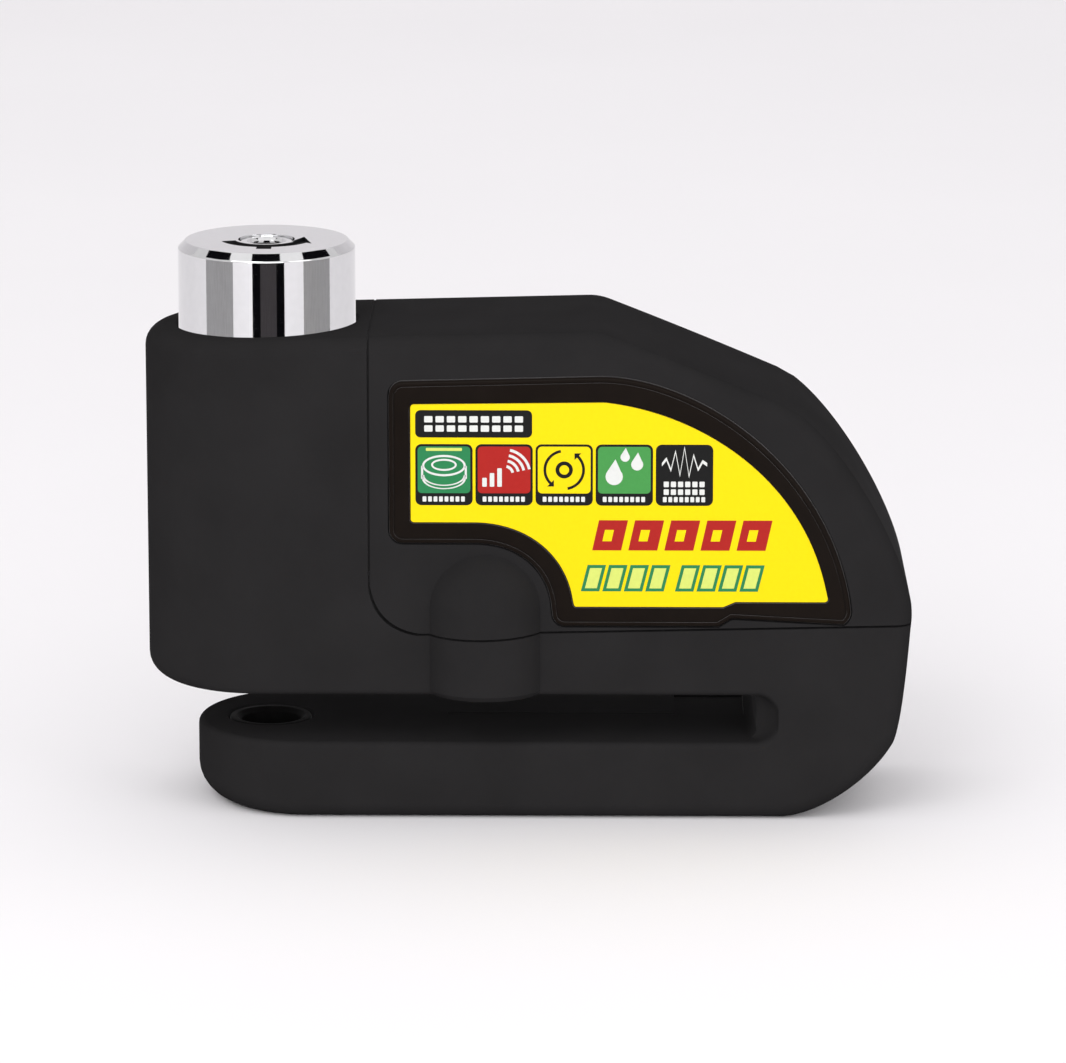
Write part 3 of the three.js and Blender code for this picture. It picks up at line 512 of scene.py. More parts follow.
def round_ended(name, left_x, right_x, z0, z1, lower, upper, slope=0.0, steps=7, arc=40):
    """A block with a round left end and round rims, whose radius differs at the end and along the sides.

    lower and upper are each (radius at the end, radius along the sides).
    """
    centre = left_x + HALF

    def ring(rim_size, share, depth, base, direction):
        at_end, along_side = rim_size
        reach = HALF - along_side * share
        height = direction * along_side * depth
        points = [(right_x, MID_Y - reach, base + height), (right_x, MID_Y + reach, base + height)]
        for k in range(arc + 1):
            angle = math.pi / 2 + math.pi * k / arc
            size = along_side + (at_end - along_side) * math.cos(angle) ** 2
            x = centre + (HALF - at_end * share) * math.cos(angle)
            points.append((x, MID_Y + reach * math.sin(angle), base + direction * size * depth))
        return points

    rings = [ring(lower, share, depth, z0, 1) for share, depth in rim(1, steps)]
    for share, depth in reversed(rim(1, steps)):
        level = ring(upper, share, depth, z1, -1)
        rings.append([(x, y, z + slope * (x - left_x)) for x, y, z in level])
    return loft(name, rings)


def disc_slot():
    """The slot: round front and back edges, a crest along the middle, and an end scooped at both faces."""
    EASE = 0.9
    SCOOP = 2.9
    CREST = 0.22
    END = 30.8
    STEPS = 12

    def ring(y, ease, reach):
        corner = 1.3 + 0.6 * reach
        outline = rounded([
            (-FAR, SLOT_FLOOR - ease, 0),
            (END + reach, SLOT_FLOOR - ease, corner),
            (END + reach, SLOT_CEILING + ease, corner),
            (-FAR, SLOT_CEILING + ease, 0),
        ], 10)
        return [(x, y, z) for x, z in outline]

    front = [ring(FRONT_Y - 12, EASE, SCOOP)]
    back = [ring(BACK_Y + 12, EASE, SCOOP)]
    for k in range(STEPS + 1):
        depth = SCOOP * (k / STEPS) ** 1.5
        left = max(0.0, EASE - depth)
        ease = EASE - math.sqrt(EASE ** 2 - left ** 2)
        reach = SCOOP * (1 - (depth / SCOOP) ** 1.5) ** (1 / 1.5)
        front.append(ring(FRONT_Y + depth, ease, reach))
        back.append(ring(BACK_Y - depth, ease, reach))
    return loft("slot tool", front + [ring(MID_Y, -CREST, -0.2)] + back[::-1])


def slot_grooves():
    """The parting line along the slot's floor, and the sunk stretch of its far half near the inner end."""
    STEP_X = 20.0
    END = 29.4
    parting = block("parting", -11, END, MID_Y - 0.2, MID_Y + 0.7, SLOT_FLOOR - 0.6, 15)
    sunk = block("sunk", STEP_X, END, MID_Y, BACK_Y - 1.6, SLOT_FLOOR - 0.9, 15)
    return parting, sunk


def boss():
    """The screw boss that stands out of the front face, with a round top."""
    RADIUS = 8.6
    DOME = 29.0
    CHAMFER = 0.7
    STEPS = 14
    turns = [math.pi / 2 * k / STEPS for k in range(STEPS + 1)]
    arc = [(RADIUS * math.cos(turn), DOME + RADIUS * math.sin(turn)) for turn in turns]
    profile = [(0, SLOT_CEILING), (RADIUS - CHAMFER, SLOT_CEILING), (RADIUS, SLOT_CEILING + CHAMFER)]
    profile += arc[:-1]
    profile.append((0, DOME + RADIUS))
    return turned("boss", profile, FRONT_SCREW.x, FRONT_SCREW.y, 96)


def envelope():
    """The outer form that the body and the housing are cut from."""
    solid = prism("envelope", side_outline(), FRONT_Y, BACK_Y, EDGE, EDGE, 8)
    barrel = round_ended("barrel", LEFT_X, SEAM_X + 1, SLOT_CEILING, BARREL_TOP, (2.8, 0.9), (2.7, EDGE),
                         TOP_SLOPE)
    jaw = round_ended("jaw", JAW_X, 0, 0, SLOT_FLOOR, (4.6, EDGE), (0.9, 0.9))
    cut(solid, disc_slot())
    return join(solid, barrel, jaw, boss())


def cavity():
    """The hollow inside the alarm housing."""
    room = prism("room", inset(side_outline(), WALL), FRONT_Y + WALL, BACK_Y - WALL)
    side = SEAM_X + SEAM_GAP + WALL
    zone = prism("zone", [
        (side + 3.6, 20), (FAR, 20), (FAR, FAR), (side, FAR), (side, 31.5), (side + 3.6, 27.2),
    ], -FAR, FAR)
    return boolean(room, zone, "INTERSECT")


def well(x, y, radius, z0, z1, sides=48):
    return turned("well", [(0, z0), (radius, z0), (radius, z1), (0, z1)], x, y, sides)


def bore_mouth():
    """The small chamfer where the push cylinder enters the barrel, tilted with the barrel's top."""
    rim_z = top_z(AXIS_X)
    profile = [(0, rim_z - 0.3), (12.1, rim_z - 0.3), (12.5, rim_z + 0.1), (12.5, ABOVE), (0, ABOVE)]
    cone = turned("mouth", profile, AXIS_X, MID_Y, 128)
    for vertex in cone.data.vertices:
        vertex.co.z += TOP_SLOPE * (vertex.co.x - AXIS_X * MM)
    return cone


def lock_body(form):
    body = copy_of(form, "body_shell")
    cut(body, prism("seam", housing_zone(0), -FAR, FAR))
    tongue = cavity()
    deck = block("deck", SEAM_X + 7.4, RIGHT_X - 4.2, FRONT_Y + 3.5, BACK_Y - 3.5, 20, 28.2)
    boolean(tongue, deck, "INTERSECT")
    cut(tongue, well(FRONT_SCREW.x, FRONT_SCREW.y, 6.8, 10, FAR),
        well(REAR_SCREW.x, REAR_SCREW.y, 4.3, 10, FAR))
    join(body, tongue)
    sleeve_bore = well(AXIS_X, MID_Y, 12.2, 24.2, ABOVE, 128)
    pin_bore = well(AXIS_X, MID_Y, 5.3, SLOT_CEILING - 1, 25.2, 64)
    cut(body, bore_mouth(), sleeve_bore, pin_bore)
    seat = [(0, 3.5), (5.7, 3.5), (5.7, SLOT_FLOOR - 0.4), (6.1, SLOT_FLOOR), (6.1, 12), (0, 12)]
    cut(body, turned("hole", seat, AXIS_X, MID_Y, 96), well(AXIS_X, MID_Y, 2.2, -1, 5), *slot_grooves())
    groove = turned("groove", [(11.2, 61.2), (13.05, 61.2), (13.05, 62.8), (11.2, 62.8)], AXIS_X, MID_Y, 96)
    cut(body, groove)
    latch_z = box_mm("latch_bolt")[0].z
    for drop in (0, 11):
        cut(body, block("pocket", AXIS_X - 14.6, AXIS_X - 9, MID_Y - 3.4, MID_Y + 3.4,
                        latch_z - drop - 0.4, latch_z - drop + 3.4))
    for screw in (FRONT_SCREW, REAR_SCREW):
        cut(body, well(screw.x, screw.y, 3.4, SLOT_CEILING - 1, SLOT_CEILING + 3.8),
            well(screw.x, screw.y, 1.9, SLOT_CEILING, FAR))
    guide = middle("guide_screw")
    reach = SEAM_X + 1 - AXIS_X
    cross = turned("cross", [(0, 9), (1.5, 9), (1.5, reach), (0, reach)], 0, 0, 32)
    cross.data.transform(Matrix.Translation(Vector((AXIS_X, MID_Y, guide.z)) * MM)
                         @ Matrix.Rotation(math.pi / 2, 4, "Y"))
    cut(body, cross)
    return shade(body, 30, edge=0.14)


def grille_slots():
    ROWS = 3
    PITCH = 2.7
    RADIUS = 8.8
    SLOT = 1.5
    corner = SLOT / 2 - 0.01
    tools = []
    for row in range(-ROWS, ROWS + 1):
        z = SIREN.z + row * PITCH
        half = math.sqrt(RADIUS ** 2 - (row * PITCH) ** 2)
        ends = rounded([
            (SIREN.x - half, z - SLOT / 2, corner), (SIREN.x + half, z - SLOT / 2, corner),
            (SIREN.x + half, z + SLOT / 2, corner), (SIREN.x - half, z + SLOT / 2, corner),
        ], 6)
        tools.append(prism("grille slot", ends, BACK_Y - 3.4, BACK_Y + 2))
    return tools


def seam_lip():
    """The tongue that fills the upright joint between the housing and the barrel, just under the surface."""
    front = FRONT_Y + 0.4
    back = BACK_Y - 0.15
    crest = top_z(SEAM_X) - 0.1
    corner = EDGE - 0.15
    outline = rounded([(front, 34, 0), (back, 34, 0), (back, crest, corner), (front, crest, corner)], 8)
    low = [(SEAM_X + 0.05, y, z) for y, z in outline]
    high = [(SEAM_X + SEAM_GAP + 0.6, y, z) for y, z in outline]
    return loft("lip", [low, high])


def alarm_housing(form):
    housing = copy_of(form, "housing_shell")
    boolean(housing, prism("seam", housing_zone(SEAM_GAP), -FAR, FAR), "INTERSECT")
    hollow = cavity()
    POST_TOP = 37.4
    cut(hollow, well(FRONT_SCREW.x, FRONT_SCREW.y, 6.5, 0, POST_TOP),
        well(REAR_SCREW.x, REAR_SCREW.y, 4, 0, POST_TOP),
        block("web", REAR_SCREW.x - 1.5, REAR_SCREW.x + 1.5, REAR_SCREW.y, BACK_Y - 1, 28.6, POST_TOP))
    cut(housing, hollow)
    join(housing, seam_lip())
    recess = prism("recess", bezel_outline(), FRONT_Y - 1, FRONT_Y + 0.9)
    cut(housing, recess, *grille_slots())
    for screw in (FRONT_SCREW, REAR_SCREW):
        cut(housing, well(screw.x, screw.y, 2.8, 20, 34.8))
    return shade(housing, 30, edge=0.14)


def bezel():
    """The dark frame: a round outer edge, a fine groove along it and a seat for the label."""
    plate = prism("bezel_frame", inset(bezel_outline(), 0.18), FRONT_Y + 0.02, FRONT_Y + 0.85, 0.35, 0, 4)
    groove = prism("groove", inset(bezel_outline(), 0.75), FRONT_Y - 1, FRONT_Y + 0.22)
    cut(groove, prism("island", inset(bezel_outline(), 0.98), FRONT_Y - 2, FRONT_Y + 1))
    cut(plate, groove)
    cut(plate, prism("seat", inset(label_outline(), -0.1), FRONT_Y - 1, FRONT_Y + 0.45))
    return shade(plate, 32, edge=0.06)


# ---------------------------------------------------------------- printed label

INK_STEP = 0.03
SHEET_Y = FRONT_Y + 0.1


def label_sheet():
    return shade(prism("label_film", inset(label_outline(), 0.05), SHEET_Y, FRONT_Y + 0.42, 0.06, 0, 3), 40)


class Print:
    """Collects flat shapes of ink, each one layer thick, into one mesh with a material for each colour."""

    def __init__(self):
        self.bm = bmesh.new()
        self.colours = []

    def ink(self, outline, colour, layer=0, hole=None):
        if colour not in self.colours:
            self.colours.append(colour)
        index = self.colours.index(colour)
        near = SHEET_Y - INK_STEP * (layer + 1)
        far = SHEET_Y - INK_STEP * layer + 0.01
        loops = [outline] + ([hole] if hole else [])
        walls = []
        for loop in loops:
            front = [self.bm.verts.new(Vector((x, near, z)) * MM) for x, z in loop]
            back = [self.bm.verts.new(Vector((x, far, z)) * MM) for x, z in loop]
            walls.append((front, back))
            for i in range(len(loop)):
                j = (i + 1) % len(loop)
                self.bm.faces.new((front[i], front[j], back[j], back[i])).material_index = index
        if hole:
            (front_out, back_out), (front_in, back_in) = walls
            count = len(outline)
            for i in range(count):
                j = (i + 1) % count
                for corners in (
                    (front_out[j], front_out[i], front_in[i], front_in[j]),
                    (back_out[i], back_out[j], back_in[j], back_in[i]),
                ):
                    self.bm.faces.new(corners).material_index = index
        else:
            front, back = walls[0]
            self.bm.faces.new(front[::-1]).material_index = index
            self.bm.faces.new(back).material_index = index

    def ring(self, x, z, radius, width, colour, layer=0, start=0.0, end=360.0, squash=1.0, count=32):
        """A band along an arc from start to end, in degrees, flattened by squash."""
        if end - start >= 360:
            outer = [(x + radius * math.cos(a), z + radius * squash * math.sin(a))
                     for a in (2 * math.pi * k / count for k in range(count))]
            inner = [(x + (radius - width) * math.cos(a), z + (radius * squash - width) * math.sin(a))
                     for a in (2 * math.pi * k / count for k in range(count))]
            self.ink(outer, colour, layer, inner)
            return
        angles = [math.radians(start + (end - start) * k / count) for k in range(count + 1)]
        hollow = radius - width
        outer = [(x + radius * math.cos(a), z + radius * squash * math.sin(a)) for a in angles]
        inner = [(x + hollow * math.cos(a), z + hollow * squash * math.sin(a)) for a in angles]
        self.ink(outer + inner[::-1], colour, layer)

    def finish(self, name):
        made = object_from(name, self.bm)
        for colour in self.colours:
            made.data.materials.append(INKS[colour])
        return made


def slanted(x, z, width, height, lean):
    return [(x, z), (x + width, z), (x + width + lean, z + height), (x + lean, z + height)]


def plate_of(x0, x1, z0, z1, radius):
    return rounded([(x0, z0, radius), (x1, z0, radius), (x1, z1, radius), (x0, z1, radius)], 5)


def artwork():
    """Plain pictograms and bars in the places of the label's print, with no lettering."""
    sheet = Print()

    # heading plate with two even rows of plain bars
    LEFT = -14.8
    PLATE_WIDTH = 15.5
    BARS = 9
    BAR_WIDTH = 1.1
    BAR_PITCH = 1.5
    sheet.ink(plate_of(LEFT, LEFT + PLATE_WIDTH, 52.4, 56.1, 0.7), "black")
    start = LEFT + (PLATE_WIDTH - (BARS - 1) * BAR_PITCH - BAR_WIDTH) / 2
    for k in range(BARS):
        x = start + k * BAR_PITCH
        sheet.ink(plate_of(x, x + BAR_WIDTH, 53.2, 54.05, 0.12), "white", 1)
        sheet.ink(plate_of(x, x + BAR_WIDTH, 54.45, 55.3, 0.12), "white", 1)

    # five tiles
    tile_fields = ("green", "red", "yellow", "light_green", "black")
    WIDTH = 7.6
    PITCH = 7.98
    FOOT = 43.2
    HEAD = 51.5
    tiles = []
    for i, field in enumerate(tile_fields):
        x0 = LEFT + i * PITCH
        sheet.ink(plate_of(x0, x0 + WIDTH, FOOT, HEAD, 0.8), "black")
        sheet.ink(plate_of(x0 + 0.3, x0 + WIDTH - 0.3, FOOT + 1.65, HEAD - 0.3, 0.55), field, 1)
        for k in range(8):
            dash = x0 + 0.95 + 0.73 * k
            sheet.ink(plate_of(dash, dash + 0.5, FOOT + 0.5, FOOT + 1.2, 0.1), "white", 1)
        tiles.append((x0 + WIDTH / 2, (FOOT + HEAD) / 2 + 0.7))

    # button cell
    x, z = tiles[0]
    sheet.ink(plate_of(x - 2.4, x + 2.4, z + 2.55, z + 2.95, 0.12), "pale", 2)
    for drop, start in ((0.0, 0), (-1.3, 180), (-1.75, 180)):
        sheet.ring(x, z + 0.55 + drop, 2.9, 0.28, "white", 2, start, 360, 0.5)
    sheet.ring(x, z + 0.65, 1.7, 0.25, "white", 2, 0, 360, 0.48)
    for side in (-1, 1):
        wall = plate_of(x + side * 2.9 - 0.14, x + side * 2.9 + 0.14, z - 1.25, z + 0.5, 0.05)
        sheet.ink(wall, "white", 2)

    # sound
    x, z = tiles[1]
    for k in range(4):
        sheet.ring(x + 0.1, z - 0.6, 1.25 + 0.75 * k, 0.36, "white", 2, 12, 78, 1.0, 14)
    for k in range(3):
        bar = x - 2.9 + 1.0 * k
        sheet.ink(plate_of(bar, bar + 0.6, z - 2.3, z - 1.1 + 0.65 * k, 0.1), "white", 2)

    # locking pin: a turned ring round a round pin
    x, z = tiles[2]
    SWEEP = 125
    for start in (100, 280):
        sheet.ring(x, z, 2.75, 0.36, "black", 2, start, start + SWEEP, 1.0, 20)
        tip = math.radians(start + SWEEP)
        tip_x = x + 2.57 * math.cos(tip)
        tip_z = z + 2.57 * math.sin(tip)
        turns = [tip + a for a in (0.0, 1.6, 3.14)]
        head = [(tip_x + 0.62 * math.cos(turn), tip_z + 0.62 * math.sin(turn)) for turn in turns]
        sheet.ink(head, "black", 2)
    sheet.ring(x, z, 1.15, 0.5, "black", 2)

    # water
    x, z = tiles[3]
    for dx, dz, size in ((-1.35, -0.9, 1.15), (0.1, 1.75, 0.62), (1.7, 0.75, 0.8)):
        drop = [(x + dx + size * math.cos(a), z + dz + size * math.sin(a))
                for a in (math.radians(-220 + 20 * k) for k in range(14))]
        drop.append((x + dx + 0.15 * size, z + dz + 2.05 * size))
        sheet.ink(drop, "white", 2)

    # movement
    x, z = tiles[4]
    heights = (0.0, 0.9, -0.9, 2.1, -1.7, 2.7, -1.9, 1.5, -0.8, 0.5, 0.0)
    trace = [(x - 3.0 + 0.6 * k, z + 0.75 + 0.85 * h) for k, h in enumerate(heights)]
    ridge = [(a, b + 0.24) for a, b in trace]
    trough = [(a, b - 0.24) for a, b in trace]
    sheet.ink(trough + ridge[::-1], "white", 2)
    for row in range(2):
        for k in range(6):
            dash = x - 2.75 + 0.95 * k
            foot = z - 3.35 + 1.05 * row
            sheet.ink(plate_of(dash, dash + 0.68, foot, foot + 0.75, 0.1), "white", 2)

    # slanted blocks in two rows
    LEAN = 0.9
    for k in range(5):
        x0 = 8.7 + 4.8 * k
        sheet.ink(slanted(x0, 37.1, 3.85, 4.1, LEAN), "red")
        sheet.ink(slanted(x0 + 1.35, 38.35, 1.2, 1.55, LEAN * 0.38), "yellow", 1)
    x0 = 7.2
    for k in range(8):
        if k == 4:
            x0 += 1.1
        outer = slanted(x0, 31.5, 2.45, 3.6, LEAN)
        sheet.ink(outer, "green")
        sheet.ink(inset(outer, 0.42), "pale", 1)
        x0 += 2.86
    return sheet.finish("label_print")


# ---------------------------------------------------------------- push cylinder and core

PLUG_FACE = 3.6


def polar(radius, degrees):
    angle = math.radians(degrees)
    return AXIS_X + radius * math.cos(angle), MID_Y + radius * math.sin(angle)


def engraved_arrow():
    """A band that curves round the front of the core, with an arrowhead at its right end, as an outline."""
    INNER, OUTER, START, END, STEPS = 4.3, 6.2, 197, 332, 28
    steps = [START + (END - START) * k / STEPS for k in range(STEPS + 1)]
    outer = [polar(OUTER, a) for a in steps]
    inner = [polar(INNER, a) for a in reversed(steps)]
    head = [polar(OUTER + 0.9, END - 1), polar((INNER + OUTER) / 2, END + 46), polar(INNER - 0.4, END - 1)]
    return outer + head + inner


def push_cap():
    """The chrome sleeve: a chamfered cap with a ring groove round the core and a curved arrow along it."""
    DEPTH = 0.55
    CHAMFER = 1.0
    top = SLEEVE_HIGH.z
    bottom = SLEEVE_LOW.z
    radius = (SLEEVE_HIGH.x - SLEEVE_LOW.x) / 2
    mouth = PLUG_FACE + 0.12
    profile = [(9.7, bottom), (radius - 0.5, bottom), (radius, bottom + 0.5)]
    profile += corner_arc((radius, bottom), (radius, top - CHAMFER), (radius - CHAMFER, top), 0.35, 5)
    profile += corner_arc((radius, top - CHAMFER), (radius - CHAMFER, top), (0, top), 0.3, 5)
    profile += corner_arc((radius, top), (mouth + 0.1, top), (mouth, top - 0.1), 0.1, 3)
    profile += [(mouth, top - 2.1), (9.7, top - 2.1)]
    made = turned("push_cap", profile, AXIS_X, MID_Y, 160)
    guide = middle("guide_screw")
    latch = box_mm("latch_bolt")[0].z
    cut(made, block("groove", AXIS_X + 10.6, AXIS_X + 14, MID_Y - 1.65, MID_Y + 1.65,
                    guide.z - 1.7, guide.z + 12.8))
    cut(made, block("window", AXIS_X - 14, AXIS_X - 5, MID_Y - 3.3, MID_Y + 3.3, latch - 0.3, latch + 3.3))
    magnet = middle("switch_magnet")
    away = math.atan2(magnet.y - MID_Y, magnet.x - AXIS_X)
    pocket = turned("pocket", [(0, 10.25), (2.05, 10.25), (2.05, 13), (0, 13)], 0, 0, 40)
    pocket.data.transform(Matrix.Translation(Vector((AXIS_X, MID_Y, magnet.z)) * MM)
                          @ Matrix.Rotation(away, 4, "Z") @ Matrix.Rotation(math.pi / 2, 4, "Y"))
    hole = turned("hole", [(0, 6), (1.12, 6), (1.12, 13), (0, 13)], 0, 0, 32)
    hole.data.transform(Matrix.Translation(Vector((AXIS_X, MID_Y, middle("shell_pin").z)) * MM)
                        @ Matrix.Rotation(-math.pi / 2, 4, "X"))
    cut(made, pocket, hole)
    cut(made, plan_prism("arrow", engraved_arrow(), top - DEPTH, top + 1))
    tick = [(AXIS_X + dx, MID_Y + dy) for dx, dy in ((-1.0, -7.6), (1.0, -7.6), (1.0, -6.0), (-1.0, -6.0))]
    cut(made, plan_prism("tick", tick, top - DEPTH, top + 1))
    dress(made, CHROME)
    made.data.materials.append(ENGRAVING_PAINT_AND_KEYWAY_SHADE)
    floor = (top - DEPTH) * MM
    for polygon in made.data.polygons:
        lowest = min(made.data.vertices[v].co.z for v in polygon.vertices)
        if abs(lowest - floor) < 1e-6:
            polygon.material_index = 1
    return shade(made, 30)


def key_plug():
    """The turning core, with a round recess and a keyway in its face, the keyway painted near-black as
    painted shade. It comes dressed.
    """
    top = PLUG_HIGH.z
    low = 57.0
    floor = 59.5
    step = SLEEVE_HIGH.z - 2.3
    radius = (PLUG_HIGH.x - PLUG_LOW.x) / 2
    clip = box_mm("core_clip")
    profile = [(0, low), (radius, low), (radius, clip[0].z - 0.1), (4.2, clip[0].z - 0.1),
               (4.2, clip[1].z + 0.1), (radius, clip[1].z + 0.1), (radius, step), (PLUG_FACE, step)]
    profile += corner_arc((PLUG_FACE, step), (PLUG_FACE, top), (0, top), 0.3, 6)
    profile += corner_arc((PLUG_FACE, top), (2.6, top), (2.35, top - 0.4), 0.1, 3)
    profile += [(2.35, top - 0.4), (0, top - 0.4)]
    made = turned("key_plug", profile, AXIS_X, MID_Y, 96)
    join(made, block("hub", AXIS_X - 1.3, AXIS_X + 1.3, MID_Y - 1.3, MID_Y + 1.3, PLUG_LOW.z, low + 0.5))
    cut(made, block("keyway", AXIS_X - 1.9, AXIS_X + 1.9, MID_Y - 0.55, MID_Y + 0.75, floor, 90))
    cut(made, block("keyway", AXIS_X - 1.9, AXIS_X - 0.8, MID_Y - 1.3, MID_Y + 0.75, floor, 90))
    for i in range(1, 6):
        wafer_low, wafer_high = box_mm(f"wafer_{i}")
        cut(made, block("wafer slot", AXIS_X - 9, AXIS_X + 9, wafer_low.y - 0.12, wafer_high.y + 0.12,
                        wafer_low.z - 0.12, wafer_high.z + 0.12))
    dress(made, CHROME)
    made.data.materials.append(ENGRAVING_PAINT_AND_KEYWAY_SHADE)
    # the keyway's walls and floor take the dark material: painted shade inside the deep keyway
    for polygon in made.data.polygons:
        away = math.hypot(polygon.center.x - AXIS_X * MM, polygon.center.y - MID_Y * MM)
        if away < 2.3 * MM and floor * MM - 1e-5 < polygon.center.z < (top - 0.45) * MM:
            polygon.material_index = 1
    return shade(made, 30, edge=0.05)


def lock_pin():
    radius = (PIN_HIGH.x - PIN_LOW.x) / 2
    low, top = PIN_LOW.z, PIN_HIGH.z
    profile = [(0, low)]
    profile += corner_arc((0, low), (radius - 0.9, low), (radius, low + 0.9), 0.4, 4)
    profile += corner_arc((radius - 0.9, low), (radius, low + 0.9), (radius, top), 0.5, 4)
    profile += [(radius, top - 0.4), (radius - 0.4, top), (0, top)]
    pin = turned("locking_pin", profile, AXIS_X, MID_Y, 72)
    cross = middle("carrier_pin")
    hole = turned("hole", [(0, -12), (1.3, -12), (1.3, 12), (0, 12)], 0, 0, 32)
    hole.data.transform(Matrix.Translation(Vector((AXIS_X, MID_Y, cross.z)) * MM)
                        @ Matrix.Rotation(math.pi / 2, 4, "X"))
    return shade(cut(pin, hole), 30)


def jaw_bushing():
    low, high = box_mm("jaw_bushing")
    outer = (high.x - low.x) / 2
    profile = [(4.1, low.z), (outer, low.z)]
    profile += corner_arc((outer, low.z), (outer, high.z), (0, high.z), 0.25, 4)
    profile += corner_arc((outer, high.z), (4.7, high.z), (4.1, high.z - 0.6), 0.2, 4)
    profile += [(4.1, high.z - 0.6)]
    return shade(turned("jaw_liner", profile, AXIS_X, MID_Y, 80), 30)


# ---------------------------------------------------------------- assembly

form = envelope()
body = dress(lock_body(form), BLACK_PAINT)
housing = dress(alarm_housing(form), BLACK_PAINT)
bpy.data.objects.remove(form)
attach(body, "frame")
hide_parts("lock_body")
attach(housing, "frame")
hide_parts("alarm_housing")

frame_plate = dress(bezel(), BEZEL)
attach(frame_plate, "frame")
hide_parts("label_bezel")
film = dress(label_sheet(), YELLOW)
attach(film, "frame")
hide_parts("label_sheet")
print_layer = artwork()
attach(print_layer, "frame")

cap = push_cap()
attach(cap, "push_cylinder")
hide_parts("push_sleeve")
plug = key_plug()
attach(plug, "lock_core")
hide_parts("core_plug")
pin = dress(lock_pin(), CHROME)
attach(pin, "push_cylinder")
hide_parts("lock_pin")
liner = dress(jaw_bushing(), PHOSPHATED)
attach(liner, "frame")
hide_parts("jaw_bushing")

for part in frame["record"]["subparts"]:
    node = frame["nodes"][part["node"]]
    surface = SURFACE_OF_NODE.get(part["node"], SURFACE_OF_SLOT[part["material_slot"]])
    if "screw" in part["node"]:
        surface = ZINC
    node.data.materials.clear()
    node.data.materials.append(surface)

# the polished cap doesn't mirror the black castings, what is in them, or the label
inside = [frame["nodes"][name] for name in frame["record"]["behaviour"]["bodies"]["frame"]]
for piece in inside + [body, housing, frame_plate, film, print_layer]:
    piece.visible_glossy = False


# ---------------------------------------------------------------- studio

def area_light(name, place, aim, width, height, power):
    data = bpy.data.lights.new(name, "AREA")
    data.shape = "RECTANGLE"
    data.size = width
    data.size_y = height
    data.energy = power
    light = bpy.data.objects.new(name, data)
    light.location = place
    light.rotation_euler = (Vector(aim) - Vector(place)).to_track_quat("-Z", "Y").to_euler()
    bpy.context.scene.collection.objects.link(light)


def camera():
    """The photograph's view: a long lens from a little above, square to the label side."""
    DISTANCE = 0.840
    ELEVATION = math.radians(12.8)
    AZIMUTH = math.radians(0.7)
    target = Vector((0, MID_Y * MM, 0.038))
    data = bpy.data.cameras.new("camera")
    data.sensor_width = 36
    data.lens = 209.5
    data.shift_x = 0.0045
    data.shift_y = -0.012
    data.clip_start = 0.05
    data.clip_end = 20
    level = math.cos(ELEVATION)
    away = Vector((math.sin(AZIMUTH) * level, -math.cos(AZIMUTH) * level, math.sin(ELEVATION)))
    made = bpy.data.objects.new("camera", data)
    made.location = target + away * DISTANCE
    made.rotation_euler = (-away).to_track_quat("-Z", "Y").to_euler()
    bpy.context.scene.collection.objects.link(made)
    bpy.context.scene.camera = made


CARD_BLACK = (0.004, 0.004, 0.005)
CARD_GREY = (0.07, 0.065, 0.068)
CARD_PALE = (0.45, 0.45, 0.45)


def reflected_card(name, points, colour):
    """A plain card that only reflections show, as a photographer's flags round a bright product do."""
    bm = bmesh.new()
    bm.faces.new([bm.verts.new(Vector(point)) for point in points])
    card = object_from(name, bm)
    card.visible_camera = False
    card.visible_diffuse = False
    card.visible_shadow = False
    card.visible_transmission = False
    card.visible_volume_scatter = False
    return dress(card, material(name, colour, 0.1, (0.8, 0.9), specular=0))


def overhead_cards():
    """Three evenly spaced cards above the chrome cap. Its chamfer shows them as dark stretches."""
    RISE = 0.5
    WIDTH = 0.2
    DEPTH = 0.2
    PITCH = 0.36
    z = SLEEVE_HIGH.z * MM + RISE
    for place, name in zip((-1, 0, 1), ("overhead_left", "overhead_middle", "overhead_right")):
        x0 = AXIS_X * MM + place * PITCH - WIDTH / 2
        x1 = x0 + WIDTH
        far = abs(place) * 0.3
        near = far - DEPTH * (1 + abs(place))
        reflected_card(name, [(x0, near, z), (x1, near, z), (x1, far, z), (x0, far, z)], CARD_BLACK)


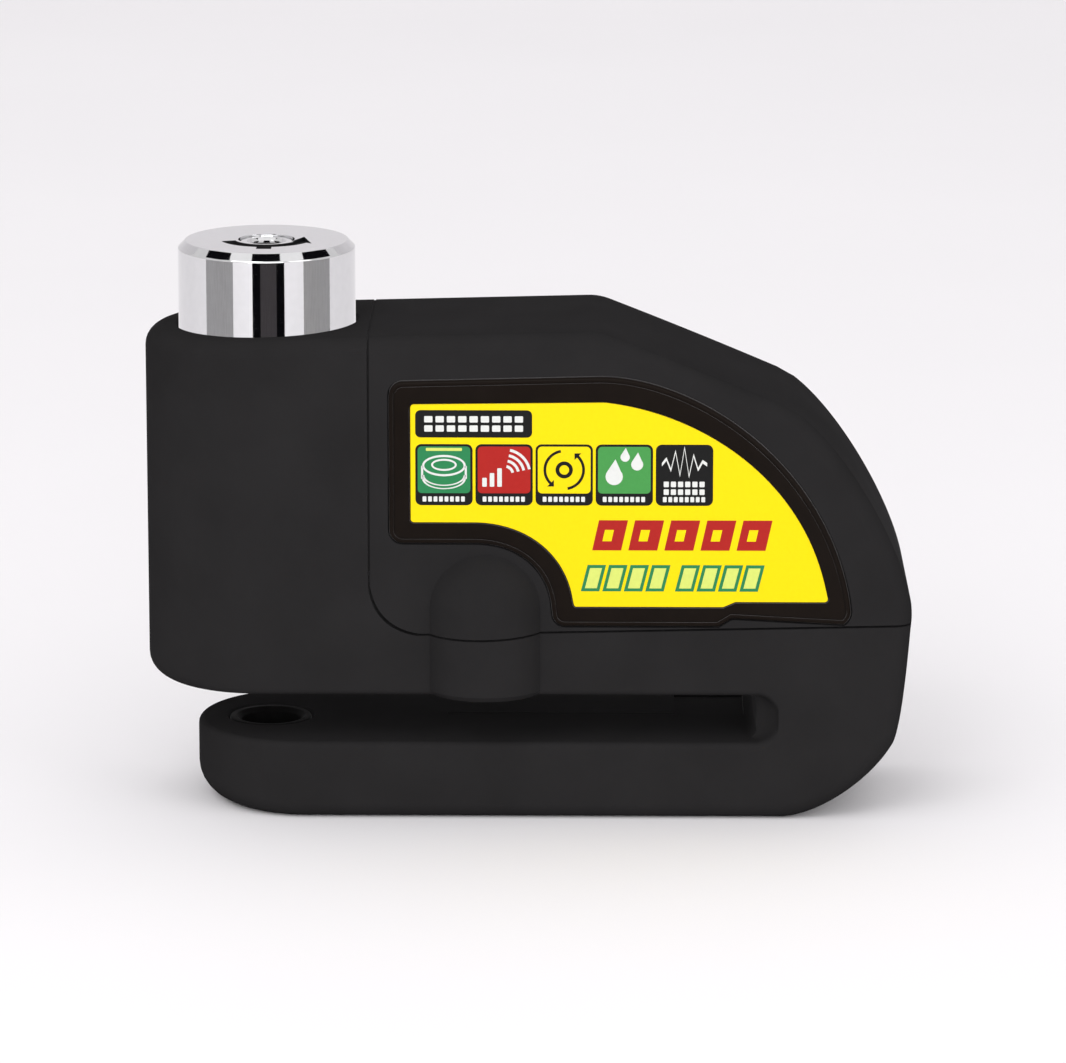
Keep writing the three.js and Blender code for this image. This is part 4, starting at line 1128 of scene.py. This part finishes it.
def upright_cards():
    """Plain cards standing round the cap, the same at both sides. The cap's side shows them as upright bands.

    A grey one is in front, black ones are next to it and pale ones at the sides. Places are in degrees
    round the cap, from the middle of the front card.
    """
    DISTANCE = 0.17
    HEIGHT = 0.055
    HEADING = 5
    FRONT = 10
    BESIDE = 20
    SIDES = (45, 85)
    cards = [("card_front", -FRONT, FRONT, CARD_GREY)]
    for side, word in ((-1, "left"), (1, "right")):
        cards.append((f"card_near_{word}", side * FRONT, side * BESIDE, CARD_BLACK))
        cards.append((f"card_side_{word}", side * SIDES[0], side * SIDES[1], CARD_PALE))
    for name, first, last, colour in cards:
        feet = []
        for degrees in (first, last):
            turn = math.radians(HEADING + degrees)
            feet.append((AXIS_X * MM + DISTANCE * math.sin(turn), MID_Y * MM - DISTANCE * math.cos(turn)))
        start, end = feet
        reflected_card(name, [(*start, 0), (*end, 0), (*end, HEIGHT), (*start, HEIGHT)], colour)


def studio():
    """A pale floor that curves up behind the lock, soft lights, and cards for the chrome to reflect."""
    GAP = 0.00005
    HALF_WIDTH = 4.0
    NEAR = -3.0
    BEND_START = 1.6
    BEND_RADIUS = 0.8
    RISE = 2.5
    STEPS = 16
    floor_bm = bmesh.new()
    path = [(NEAR, 0.0)]
    for k in range(STEPS + 1):
        turn = math.pi / 2 * k / STEPS
        path.append((BEND_START + BEND_RADIUS * math.sin(turn), BEND_RADIUS * (1 - math.cos(turn))))
    path.append((BEND_START + BEND_RADIUS, RISE))
    rows = [[floor_bm.verts.new((x, y, z - GAP)) for x in (-HALF_WIDTH, HALF_WIDTH)] for y, z in path]
    for a, b in zip(rows, rows[1:]):
        floor_bm.faces.new((a[0], a[1], b[1], b[0]))
    floor = object_from("studio_floor", floor_bm)
    for polygon in floor.data.polygons:
        polygon.use_smooth = True
    dress(floor, material("pale floor", (0.86, 0.845, 0.862), 0.01, (0.65, 0.75), scale=6, specular=0.1))

    world = bpy.data.worlds.new("studio")
    world.use_nodes = True
    background = world.node_tree.nodes["Background"]
    background.inputs["Color"].default_value = (1, 0.99, 0.995, 1)
    background.inputs["Strength"].default_value = 0.80
    bpy.context.scene.world = world

    area_light("key", (-0.55, -1.0, 0.95), (0, 0, 0.03), 0.9, 0.7, 5)
    area_light("fill", (0.9, -0.8, 0.6), (0, 0, 0.03), 0.7, 0.7, 2)
    area_light("front", (0.0, -1.4, 0.34), (0, 0, 0.04), 1.2, 0.6, 8)
    area_light("overhead", (0.0, 0.1, 1.6), (0, 0.1, 0.0), 2.6, 2.6, 6)
    overhead_cards()
    upright_cards()


camera()
studio()
bpy.context.scene.view_settings.view_transform = "Standard"
